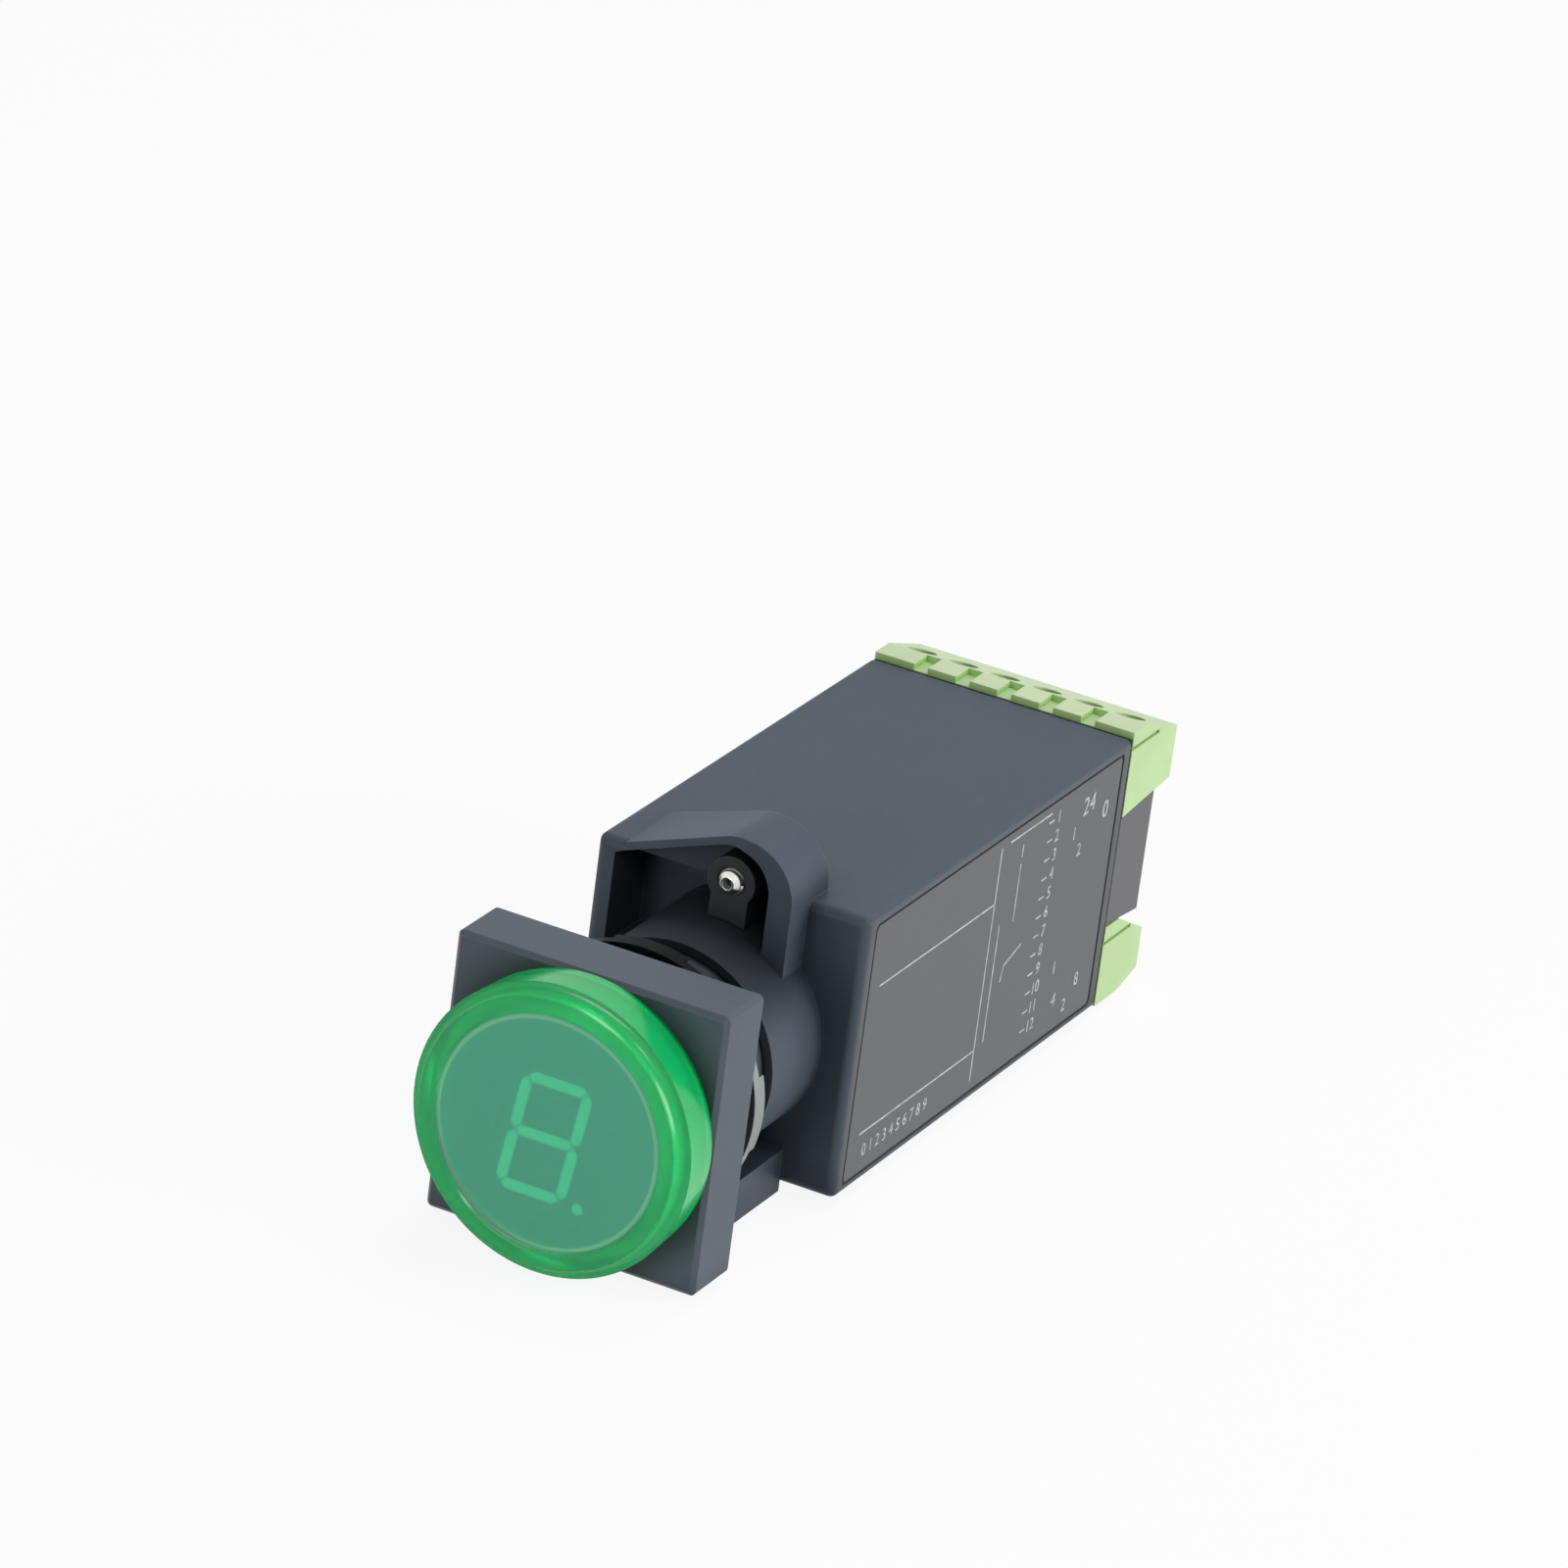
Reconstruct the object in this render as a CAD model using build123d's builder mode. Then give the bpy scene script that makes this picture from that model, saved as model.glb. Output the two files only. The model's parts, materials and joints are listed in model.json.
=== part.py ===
"""Panel-mounted single-digit display module, modelled in millimetres.

The axis of the device runs along Y. The origin lies on that axis, in the plane where the
bezel seats on the panel. X points right as the digit is read, Z points up and Y points back
into the panel.
"""

import os
from math import cos, radians, sin, tan

from build123d import *

# Bezel and barrel
bezel_inset = 0.35
bezel_depth = 7.4
bezel_corner = 0.6
bezel_edge = 0.5
bezel_floor = 1.9
barrel_diameter = 22.0
barrel_wall = 1.4
barrel_length = 19.5
bayonet_depth = 0.5
bayonet_width = 4.0
bayonet_run = 6.0
key_width = 2.4
key_height = 0.5
key_length = 3.0

# Lens cap
lens_flare = 0.25
lens_height = 6.2
lens_front_wall = 1.4
lens_shoulder = 1.3
field_rim = 2.75
field_step = 0.25
skirt_wall = 0.8
skirt_length = 3.0
skirt_clearance = 0.1

# Seals and the ring behind the panel
lens_seal_section = 0.9
lens_seal_clearance = 0.06
panel_seal_margin = 0.8
panel_seal_thickness = 1.7
panel_seal_recess = 0.5
ring_margin = 0.95
ring_thickness = 1.2
ring_wall = 1.6
ring_position = 3.6
ring_clearance = 0.2
ring_tooth_height = 0.9
ring_gap_width = 3.0
ring_gap_reach = 2.0
ring_teeth = 8
seal_clearance = 0.15

# Digit
digit_height = 13.4
digit_width = 8.0
digit_slant = 8.0
digit_offset_x = -0.65
digit_offset_z = -1.0
segment_width = 1.2
segment_gap = 0.12
segment_depth = 1.7
point_diameter = 1.2
point_gap = 1.5
point_rise = 0.3
window_clearance = 0.04
faceplate_thickness = 0.8
faceplate_clearance = 0.15
reflector_side = 2.3
reflector_end = 2.4

# Display board and its pins
board_thickness = 1.6
display_board_clearance = 0.3
pin_diameter = 0.5
pin_hole_size = 0.9
pin_pitch = 2.54
pin_rows = 15.24
pins_in_row = 5
pin_tail = 0.9

# Housing
housing_step = 0.2
housing_height = 31.4
housing_front = 22.4
housing_length = 61.0
housing_wall = 1.6
housing_corner = 0.8
housing_front_edge = 1.1
collar_wall = 0.95
collar_clearance = 0.15
collar_front = 11.8

# Screw hood on top of the housing
arch_x = 1.7
arch_rise = 0.8
hood_front = 18.4
hood_rear = 26.5
hood_slope = 24.5
hood_inner_radius = 4.3
hood_outer_radius = 5.9
hood_shift_x = 1.1
hood_shift_z = -0.35
hood_roof_rear = 32.6
arc_middle = 45
pocket_wall = 2.2
pocket_rear = 30.0
pocket_bottom = 4.0
hood_rear_wall = 1.5
access_diameter = 3.6
access_run = 1.6

# Foot below the housing
foot_width = 18.9
foot_front = 9.0
foot_rear = 23.2
foot_drop = 1.0
foot_height = 4.8
foot_corner = 0.6

# Clamp block and its screw
screw_x = 1.1
clamp_radius = 2.7
clamp_stem_width = 4.2
clamp_front = 19.6
clamp_clearance = 0.1
screw_diameter = 3.0
screw_length = 7.2
screw_tip = 18.7
screw_point = 0.5
screw_cup_diameter = 1.4
screw_cup_depth = 0.7
screw_slot_width = 0.6
screw_slot_depth = 0.9
thread_clearance = 0.05

# Boards inside the housing
tongue_width = 15.0
main_board_z = -2.4
main_board_clearance = 0.4
rail_height = 1.0
rail_reach = 1.4
board_joint = 0.1
terminal_board_position = 71.0
seat_gap = 0.1

# What the main board carries
chip_length = 19.3
chip_width = 6.4
chip_height = 3.2
chip_stand = 0.5
chip_position = 48.5
chip_legs = 8
chip_leg_width = 0.5
chip_leg_reach = 0.7
regulator_width = 10.0
regulator_height = 4.4
regulator_body = 7.5
regulator_tab = 4.5
regulator_tab_thickness = 1.3
regulator_hole = 3.2
regulator_front = 58.6
regulator_inset = 1.5
capacitor_diameter = 8.0
capacitor_height = 11.5
capacitor_position = 64.0
capacitor_inset = 2.5
capacitor_edge = 0.6
resistors = 7
resistor_diameter = 1.8
resistor_length = 3.6
resistor_wire = 0.5
resistor_span = 5.0
resistor_position = 36.0
link_width = 12.0
link_depth = 6.0
link_height = 2.5

# Rear cover between the two terminal rows
cover_fit = 0.15
cover_step = 3.6
cover_inset = 0.1
cover_flare = 0.8
cover_rear = 92.8
cover_spigot = 5.4
flange_inset = 1.3
cover_edge = 0.5
rear_gap = 1.0

# Pin headers and pluggable terminals
poles = 6
pole_pitch = 5.0
plug_end = 0.5
plug_clearance = 0.15
row_inset = 5.9
header_base = 2.0
header_wall = 0.9
header_end_gap = 0.2
nose_height = 5.2
nose_front = 78.3
nose_clearance = 0.1
nose_side_gap = 0.3
contact_pin = 1.0
contact_hole = 1.6
contact_tail = 1.2
contact_reach = 82.4
contact_clearance = 0.15
wire_opening = 3.0
cage_size = 3.7
cage_wall = 0.5
cage_length = 4.0
cage_clearance = 0.1
cage_position = 89.8
terminal_screw_diameter = 2.7
terminal_screw_height = 1.6
terminal_slot_width = 0.5
terminal_slot_depth = 0.6
shaft_diameter = 3.3
pad_groove_width = 1.7
pad_groove_depth = 0.7
pad_groove_run = 3.2
side_groove_run = 6.7
side_groove_drop = 1.9
side_groove_size = 0.45

# Upper row: top edge above the housing, slope to the wire face and wires above the contacts
upper_rise = 0.5
upper_slope_start = 87.6
upper_slope_drop = 2.7
upper_rear = 95.8
upper_wire_lift = 0.4

# Lower row, with a bevel below its wire face
lower_gap = 0.4
lower_slope_start = 87.75
lower_slope_drop = 3.3
lower_rear = 94.4
lower_wire_drop = 2.4
lower_drop = 0.1
lower_bevel_start = 89.8
lower_bevel_rise = 1.2

# Side label
label_thickness = 0.2
label_margin = 1.1
label_front_gap = 1.9
label_rear_gap = 1.4
label_clearance = 0.15
label_corner = 0.6

# Places worked out from the sizes above
plug_width = poles * pole_pitch + 2 * plug_end
housing_width = plug_width + 2 * housing_step
bezel_width = housing_width - 2 * bezel_inset
barrel_radius = barrel_diameter / 2
barrel_bore = barrel_radius - barrel_wall
bezel_face = -bezel_depth
lens_front = bezel_face - lens_height
lens_base = bezel_width / 2
lens_bore = lens_base - field_rim
skirt_radius = lens_bore + skirt_wall
bezel_bore = skirt_radius + skirt_clearance
panel_seal_radius = bezel_width / 2 - panel_seal_margin
ring_radius = bezel_width / 2 - ring_margin
lens_inside = lens_front + field_step + lens_front_wall
faceplate_front = lens_inside + seat_gap
faceplate_rear = faceplate_front + faceplate_thickness
board_seat = -bezel_floor
display_board_front = board_seat - board_thickness
housing_side = housing_width / 2
housing_top = housing_height / 2
housing_rear = housing_front + housing_length
collar_bore = barrel_radius + collar_clearance
collar_radius = collar_bore + collar_wall
cavity_front = pocket_rear + housing_wall
hood_pocket_rear = hood_rear - hood_rear_wall
cavity_half_x = housing_side - housing_wall
cavity_half_z = housing_top - housing_wall
screw_z = housing_top + arch_rise
header_z = housing_top - row_inset
upper_top = housing_top + upper_rise
upper_wire_z = header_z + upper_wire_lift
cover_top = header_z - cover_step
lower_top = -cover_top - lower_gap
lower_wire_z = -header_z - lower_wire_drop
lower_bottom = -housing_top - lower_drop
parts = []


def section(y):
    """Sketch plane across the device axis at distance y behind the panel seat."""
    return Plane.XZ.offset(-y)


def side_plane(x):
    """Sketch plane along the device axis, seen from the right, at distance x from the axis."""
    return Plane.YZ.offset(x)


def on_arc(centre_x, centre_z, radius, degrees):
    """Point of a circle about the given centre, at an angle counted up from the X axis."""
    return centre_x + radius * cos(radians(degrees)), centre_z + radius * sin(radians(degrees))


def keep(block, name):
    """Label a finished piece and put it on the list of pieces to write."""
    block.part.label = name
    parts.append(block.part)


# Lens cap, a turned cup with a recessed viewing field and a skirt that enters the bezel
with BuildPart() as lens_cap:
    with BuildSketch(Plane.XY):
        with BuildLine():
            rim = lens_base + lens_flare
            field = Polyline(
                (0, lens_front + field_step),
                (lens_bore, lens_front + field_step),
                (lens_bore + field_step, lens_front),
                (rim - lens_shoulder, lens_front),
            )
            RadiusArc(field @ 1, (rim, lens_front + lens_shoulder), lens_shoulder)
            Polyline(
                (rim, lens_front + lens_shoulder),
                (lens_base, bezel_face),
                (skirt_radius, bezel_face),
                (skirt_radius, bezel_face + skirt_length),
                (lens_bore, bezel_face + skirt_length),
                (lens_bore, lens_inside),
                (0, lens_inside),
                (0, lens_front + field_step),
            )
        make_face()
    revolve(axis=Axis.Y)
keep(lens_cap, "lens_cap")


# Bezel with its barrel: a square flange, a stepped bore and a tube that passes through the panel
with BuildPart() as bezel:
    with BuildSketch(section(bezel_face)):
        RectangleRounded(bezel_width, bezel_width, bezel_corner)
    extrude(amount=-bezel_depth)
    chamfer(bezel.faces().sort_by(Axis.Y)[0].edges(), length=bezel_edge)
    with BuildSketch(section(0)):
        Circle(barrel_radius)
    extrude(amount=-barrel_length)
    with BuildSketch(section(0)):
        with Locations((0, barrel_radius)):
            Rectangle(key_width, 2 * key_height)
    extrude(amount=-key_length)
    with BuildSketch(section(bezel_face)):
        Circle(bezel_bore)
    extrude(amount=-(bezel_depth - bezel_floor), mode=Mode.SUBTRACT)
    with BuildSketch(section(bezel_face)):
        Circle(barrel_bore)
    extrude(amount=-(bezel_depth + barrel_length), mode=Mode.SUBTRACT)
    seal_seat = lens_seal_section + 2 * lens_seal_clearance
    with BuildSketch(section(bezel_face)):
        Circle(bezel_bore + seal_seat)
    extrude(amount=-seal_seat, mode=Mode.SUBTRACT)
    with BuildSketch(section(-panel_seal_recess)):
        Circle(panel_seal_radius + seal_clearance)
        Circle(barrel_radius, mode=Mode.SUBTRACT)
    extrude(amount=-panel_seal_recess, mode=Mode.SUBTRACT)
    for side in (0, 180):
        with BuildSketch(section(barrel_length - bayonet_run)):
            with PolarLocations(barrel_radius, 1, start_angle=side):
                Rectangle(2 * bayonet_depth, bayonet_width)
        extrude(amount=-bayonet_run, mode=Mode.SUBTRACT)
keep(bezel, "bezel")

# Seal ring between the lens cap and the bezel
with BuildPart() as lens_seal:
    with BuildSketch(Plane.XY):
        seal_reach = lens_seal_section / 2 + lens_seal_clearance
        with Locations((bezel_bore + seal_reach, bezel_face + seal_reach)):
            Rectangle(lens_seal_section, lens_seal_section)
    revolve(axis=Axis.Y)
keep(lens_seal, "lens_seal")

# Flat seal between the bezel and the panel, notched for the barrel's key
with BuildPart() as panel_seal:
    with BuildSketch(section(-panel_seal_recess)):
        Circle(panel_seal_radius)
        Circle(barrel_radius + seal_clearance, mode=Mode.SUBTRACT)
        with Locations((0, barrel_radius)):
            Rectangle(key_width + 2 * seal_clearance, 2 * (key_height + seal_clearance), mode=Mode.SUBTRACT)
    extrude(amount=-panel_seal_thickness)
keep(panel_seal, "panel_seal")

# Toothed metal ring, notched for the key, that spreads the screw's thrust over the panel
with BuildPart() as thrust_ring:
    with BuildSketch(section(ring_position)):
        Circle(ring_radius)
        Circle(barrel_radius + ring_clearance, mode=Mode.SUBTRACT)
        with Locations((0, barrel_radius)):
            Rectangle(key_width + 2 * ring_clearance, 2 * (key_height + ring_clearance), mode=Mode.SUBTRACT)
    extrude(amount=-ring_thickness)
    with BuildSketch(section(ring_position + ring_thickness)):
        Circle(ring_radius)
        Circle(ring_radius - ring_wall, mode=Mode.SUBTRACT)
    extrude(amount=-ring_tooth_height)
    with BuildSketch(section(ring_position + ring_thickness)):
        with PolarLocations(ring_radius, ring_teeth, start_angle=180 / ring_teeth):
            Rectangle(2 * ring_gap_reach, ring_gap_width)
    extrude(amount=-ring_tooth_height, mode=Mode.SUBTRACT)
keep(thrust_ring, "thrust_ring")


# Digit: slanted segments that sit in windows of the faceplate and in wells of the reflector
def slanted(x, z):
    """Place of a point of the upright digit after it is slanted and moved to its centre."""
    return digit_offset_x + x + z * tan(radians(digit_slant)), digit_offset_z + z


def bar_outline(x0, z0, x1, z1):
    """Six corners of one segment between two joints of the digit, mitred at both ends."""
    half = segment_width / 2
    run_x = (x1 - x0) / max(abs(x1 - x0), abs(z1 - z0))
    run_z = (z1 - z0) / max(abs(x1 - x0), abs(z1 - z0))
    corners = []
    for along, across in ((0, 0), (half, half), (half, -half)):
        shift = segment_gap + along
        corners.append((x0 + run_x * shift - run_z * across, z0 + run_z * shift + run_x * across))
    for along, across in ((0, 0), (half, -half), (half, half)):
        shift = segment_gap + along
        corners.append((x1 - run_x * shift - run_z * across, z1 - run_z * shift + run_x * across))
    order = (0, 1, 5, 3, 4, 2)
    return [slanted(*corners[i]) for i in order]


joint_x = (digit_width - segment_width) / 2
joint_z = (digit_height - segment_width) / 2
segment_ends = {
    "segment_a": (-joint_x, joint_z, joint_x, joint_z),
    "segment_b": (joint_x, joint_z, joint_x, 0),
    "segment_c": (joint_x, 0, joint_x, -joint_z),
    "segment_d": (-joint_x, -joint_z, joint_x, -joint_z),
    "segment_e": (-joint_x, 0, -joint_x, -joint_z),
    "segment_f": (-joint_x, joint_z, -joint_x, 0),
    "segment_g": (-joint_x, 0, joint_x, 0),
}
point_place = slanted(digit_width / 2 + point_gap, point_rise - digit_height / 2)
segment_front = faceplate_front
segment_rear = segment_front + segment_depth

for segment_name, ends in segment_ends.items():
    with BuildPart() as segment:
        with BuildSketch(section(segment_front)):
            Polygon(*bar_outline(*ends), align=None)
        extrude(amount=-segment_depth)
    keep(segment, segment_name)

with BuildPart() as decimal_point:
    with BuildSketch(section(segment_front)):
        with Locations(point_place):
            Circle(point_diameter / 2)
    extrude(amount=-segment_depth)
keep(decimal_point, "decimal_point")

# Windows of the digit, used for the faceplate and for the reflector's wells
with BuildSketch(section(segment_front)) as windows:
    for ends in segment_ends.values():
        with BuildSketch(section(segment_front), mode=Mode.PRIVATE) as window:
            Polygon(*bar_outline(*ends), align=None)
            offset(amount=window_clearance, kind=Kind.INTERSECTION)
        add(window.sketch)
    with Locations(point_place):
        Circle(point_diameter / 2 + window_clearance)

# Round faceplate behind the lens
with BuildPart() as faceplate:
    with BuildSketch(section(faceplate_front)):
        Circle(lens_bore - faceplate_clearance)
    extrude(amount=-faceplate_thickness)
    extrude(windows.sketch, amount=-faceplate_thickness, mode=Mode.SUBTRACT)
keep(faceplate, "faceplate")

# Reflector block that carries the segments and stands on the display board
reflector_depth = display_board_front - faceplate_rear
reflector_width = digit_width + 2 * reflector_side
reflector_height = digit_height + 2 * reflector_end
well_depth = segment_rear - faceplate_rear + seat_gap
with BuildPart() as reflector:
    with BuildSketch(section(faceplate_rear)):
        RectangleRounded(reflector_width, reflector_height, pin_diameter)
    extrude(amount=-reflector_depth)
    extrude(windows.sketch, amount=-(faceplate_thickness + well_depth), mode=Mode.SUBTRACT)
keep(reflector, "reflector")

# Places of the display's pins in two rows
pin_places = [
    ((i - (pins_in_row - 1) / 2) * pin_pitch, row * pin_rows / 2)
    for row in (1, -1)
    for i in range(pins_in_row)
]

# Round board that the reflector's pins are soldered into
with BuildPart() as display_board:
    with BuildSketch(section(display_board_front)):
        Circle(bezel_bore - display_board_clearance)
        with Locations(*pin_places):
            Rectangle(pin_hole_size, pin_hole_size, mode=Mode.SUBTRACT)
    extrude(amount=-board_thickness)
keep(display_board, "display_board")

with BuildPart() as display_pins:
    with BuildSketch(section(display_board_front)):
        with Locations(*pin_places):
            Rectangle(pin_diameter, pin_diameter)
    extrude(amount=-(board_thickness + pin_tail))
keep(display_pins, "display_pins")


# Screw hood: a sloping roof that runs into an arc about the fixing screw, trimmed in plan
outer_x = arch_x + hood_shift_x
outer_z = screw_z + hood_shift_z
roof_rise = tan(radians(hood_slope))
outer_touch = on_arc(outer_x, outer_z, hood_outer_radius, 90 + hood_slope)
outer_shoulder = on_arc(outer_x, outer_z, hood_outer_radius, arc_middle)
roof_start_x = outer_touch[0] - (outer_touch[1] - housing_top) / roof_rise
hood_side_x = outer_x + hood_outer_radius
with BuildPart() as hood:
    with BuildSketch(section(hood_front)):
        with BuildLine():
            Line((roof_start_x, housing_top), outer_touch)
            ThreePointArc(outer_touch, outer_shoulder, (hood_side_x, outer_z))
            Polyline(
                (hood_side_x, outer_z),
                (hood_side_x, pocket_bottom),
                (roof_start_x, pocket_bottom),
                (roof_start_x, housing_top),
            )
        make_face()
    extrude(amount=-(hood_roof_rear - hood_front))
    with BuildSketch(Plane.XY):
        Polygon(
            (roof_start_x, housing_front),
            (outer_x, hood_front),
            (hood_side_x, hood_front),
            (hood_side_x, hood_rear),
            (outer_x, hood_rear),
            (roof_start_x, hood_roof_rear),
            align=None,
        )
    extrude(amount=housing_height, mode=Mode.INTERSECT)

# Outline of the pocket under the hood, and its part below the housing's top wall
inner_touch = on_arc(arch_x, screw_z, hood_inner_radius, 90 + hood_slope)
inner_shoulder = on_arc(arch_x, screw_z, hood_inner_radius, arc_middle)
pocket_left = pocket_wall - housing_side
pocket_right = arch_x + hood_inner_radius
pocket_ceiling = inner_touch[1] - (inner_touch[0] - pocket_left) * roof_rise
with BuildSketch(section(hood_front)) as pocket:
    with BuildLine():
        Line((pocket_left, pocket_ceiling), inner_touch)
        ThreePointArc(inner_touch, inner_shoulder, (pocket_right, screw_z))
        Polyline(
            (pocket_right, screw_z),
            (pocket_right, pocket_bottom),
            (pocket_left, pocket_bottom),
            (pocket_left, pocket_ceiling),
        )
    make_face()
with BuildSketch(section(hood_front)) as low_pocket:
    add(pocket.sketch)
    Rectangle(2 * cavity_half_x, 2 * cavity_half_z, mode=Mode.INTERSECT)

# Housing: a box with rounded edges, the hood, a pocket for the clamp, a collar and a foot
main_board_top = main_board_z + board_thickness
rail_run = terminal_board_position - board_joint - cavity_front
rail_x = cavity_half_x - rail_reach / 2
label_length = housing_length - label_front_gap - label_rear_gap
label_middle = housing_front + label_front_gap + label_length / 2
label_height = housing_height - 2 * label_margin
recess_length = label_length + 2 * label_clearance
recess_height = label_height + 2 * label_clearance
with BuildPart() as housing:
    with BuildSketch(section(housing_front)):
        RectangleRounded(housing_width, housing_height, housing_corner)
    extrude(amount=-housing_length)
    fillet(housing.faces().sort_by(Axis.Y)[0].edges(), radius=housing_front_edge)
    add(hood.part)
    extrude(pocket.sketch, amount=-(hood_pocket_rear - hood_front), mode=Mode.SUBTRACT)
    extrude(low_pocket.sketch, amount=-(pocket_rear - hood_front), mode=Mode.SUBTRACT)
    with BuildSketch(section(cavity_front)):
        Rectangle(2 * cavity_half_x, 2 * cavity_half_z)
    extrude(amount=-(housing_rear - cavity_front), mode=Mode.SUBTRACT)
    with BuildSketch(section(collar_front)):
        Circle(collar_radius)
    extrude(amount=-(pocket_rear - collar_front))
    with BuildSketch(Plane.XY.offset(-housing_top - foot_drop)):
        with Locations((0, (foot_front + foot_rear) / 2)):
            RectangleRounded(foot_width, foot_rear - foot_front, foot_corner)
    extrude(amount=foot_height)
    with BuildSketch(section(collar_front)):
        Circle(collar_bore)
    extrude(amount=-(cavity_front - collar_front), mode=Mode.SUBTRACT)
    with BuildSketch(section(hood_pocket_rear)):
        with Locations((screw_x, screw_z)):
            Circle(access_diameter / 2)
    extrude(amount=-(hood_rear_wall + access_run), mode=Mode.SUBTRACT)
    with BuildSketch(side_plane(housing_side - label_thickness)):
        with Locations((label_middle, 0)):
            RectangleRounded(recess_length, recess_height, label_corner + label_clearance)
    extrude(amount=label_thickness, mode=Mode.SUBTRACT)
    for rail_z in (main_board_top + seat_gap + rail_height / 2, main_board_z - seat_gap - rail_height / 2):
        with BuildSketch(section(cavity_front)):
            with Locations((rail_x, rail_z), (-rail_x, rail_z)):
                Rectangle(rail_reach, rail_height)
        extrude(amount=-rail_run)
keep(housing, "housing")

# Clamp block: a threaded boss on a stem that stands on the collar
with BuildPart() as clamp_block:
    with BuildSketch(section(clamp_front)):
        with Locations((screw_x, screw_z)):
            Circle(clamp_radius)
        with Locations((screw_x, screw_z / 2)):
            Rectangle(clamp_stem_width, screw_z)
        Circle(collar_radius + clamp_clearance, mode=Mode.SUBTRACT)
        with Locations((screw_x, screw_z)):
            Circle(screw_diameter / 2 + thread_clearance, mode=Mode.SUBTRACT)
    extrude(amount=-(hood_pocket_rear - clamp_clearance - clamp_front))
keep(clamp_block, "clamp_block")

# Fixing screw with a cup point in front and a slot behind
screw_end = screw_tip + screw_length
with BuildPart() as fixing_screw:
    with BuildSketch(section(screw_tip)):
        with Locations((screw_x, screw_z)):
            Circle(screw_diameter / 2)
    extrude(amount=-screw_length)
    chamfer(fixing_screw.faces().sort_by(Axis.Y)[0].edges(), length=screw_point)
    with BuildSketch(section(screw_tip)):
        with Locations((screw_x, screw_z)):
            Circle(screw_cup_diameter / 2)
    extrude(amount=-screw_cup_depth, mode=Mode.SUBTRACT)
    with BuildSketch(section(screw_end - screw_slot_depth)):
        with Locations((screw_x, screw_z)):
            Rectangle(screw_diameter, screw_slot_width)
    extrude(amount=-screw_slot_depth, mode=Mode.SUBTRACT)
keep(fixing_screw, "fixing_screw")

# Main board with a tongue that reaches through the barrel to the display board
main_board_front = cavity_front + main_board_clearance
main_board_rear = terminal_board_position - board_joint
main_board_half = cavity_half_x - main_board_clearance
with BuildPart() as main_board:
    with BuildSketch(Plane.XY.offset(main_board_z)):
        Polygon(
            (-tongue_width / 2, board_seat + board_joint),
            (tongue_width / 2, board_seat + board_joint),
            (tongue_width / 2, main_board_front),
            (main_board_half, main_board_front),
            (main_board_half, main_board_rear),
            (-main_board_half, main_board_rear),
            (-main_board_half, main_board_front),
            (-tongue_width / 2, main_board_front),
            align=None,
        )
    extrude(amount=board_thickness)
keep(main_board, "main_board")

# Link between the tongue and the display board
with BuildPart() as link_header:
    with BuildSketch(Plane.XY.offset(main_board_top)):
        with Locations((0, board_seat + board_joint + link_depth / 2)):
            Rectangle(link_width, link_depth)
    extrude(amount=link_height)
keep(link_header, "link_header")

# Driver chip with a row of legs on each side
with BuildPart() as driver_chip:
    with BuildSketch(Plane.XY.offset(main_board_top + chip_stand)):
        with Locations((0, chip_position)):
            Rectangle(chip_width, chip_length)
    extrude(amount=chip_height)
    leg_pitch = chip_length / chip_legs
    with BuildSketch(Plane.XY.offset(main_board_top)):
        for leg_x in (chip_width / 2, -chip_width / 2):
            with Locations((leg_x, chip_position)):
                with GridLocations(0, leg_pitch, 1, chip_legs):
                    Rectangle(2 * chip_leg_reach, chip_leg_width)
    extrude(amount=chip_stand + chip_height / 2)
keep(driver_chip, "driver_chip")

# Voltage regulator lying on the board, with its drilled tab
regulator_x = regulator_inset + regulator_width / 2 - main_board_half
with BuildPart() as regulator:
    with BuildSketch(Plane.XY.offset(main_board_top)):
        with Locations((regulator_x, regulator_front + regulator_body / 2)):
            Rectangle(regulator_width, regulator_body)
    extrude(amount=regulator_height)
    with BuildSketch(Plane.XY.offset(main_board_top)):
        with Locations((regulator_x, regulator_front + regulator_body + regulator_tab / 2)):
            Rectangle(regulator_width, regulator_tab)
            Circle(regulator_hole / 2, mode=Mode.SUBTRACT)
    extrude(amount=regulator_tab_thickness)
keep(regulator, "regulator")

# Smoothing capacitor standing on the board
capacitor_x = main_board_half - capacitor_inset - capacitor_diameter / 2
with BuildPart() as capacitor:
    with BuildSketch(Plane.XY.offset(main_board_top)):
        with Locations((capacitor_x, capacitor_position)):
            Circle(capacitor_diameter / 2)
    extrude(amount=capacitor_height)
    chamfer(capacitor.faces().sort_by(Axis.Z)[-1].edges(), length=capacitor_edge)
keep(capacitor, "capacitor")

# One resistor for each segment, their wires bent down to the board
resistor_pitch = 2 * (main_board_half - rail_reach) / (resistors + 1)
resistor_z = main_board_top + resistor_diameter / 2
with BuildPart() as resistor_row:
    with BuildSketch(section(resistor_position - resistor_length / 2)):
        with Locations((0, resistor_z)):
            with GridLocations(resistor_pitch, 0, resistors, 1):
                Circle(resistor_diameter / 2)
    extrude(amount=-resistor_length)
    with BuildSketch(section(resistor_position - resistor_span / 2)):
        with Locations((0, resistor_z)):
            with GridLocations(resistor_pitch, 0, resistors, 1):
                Rectangle(resistor_wire, resistor_wire)
    extrude(amount=-resistor_span)
    with BuildSketch(Plane.XY.offset(main_board_top)):
        with Locations((0, resistor_position)):
            with GridLocations(resistor_pitch, resistor_span, resistors, 2):
                Rectangle(resistor_wire, resistor_wire)
    extrude(amount=resistor_diameter / 2 + resistor_wire / 2)
keep(resistor_row, "resistor_row")

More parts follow.
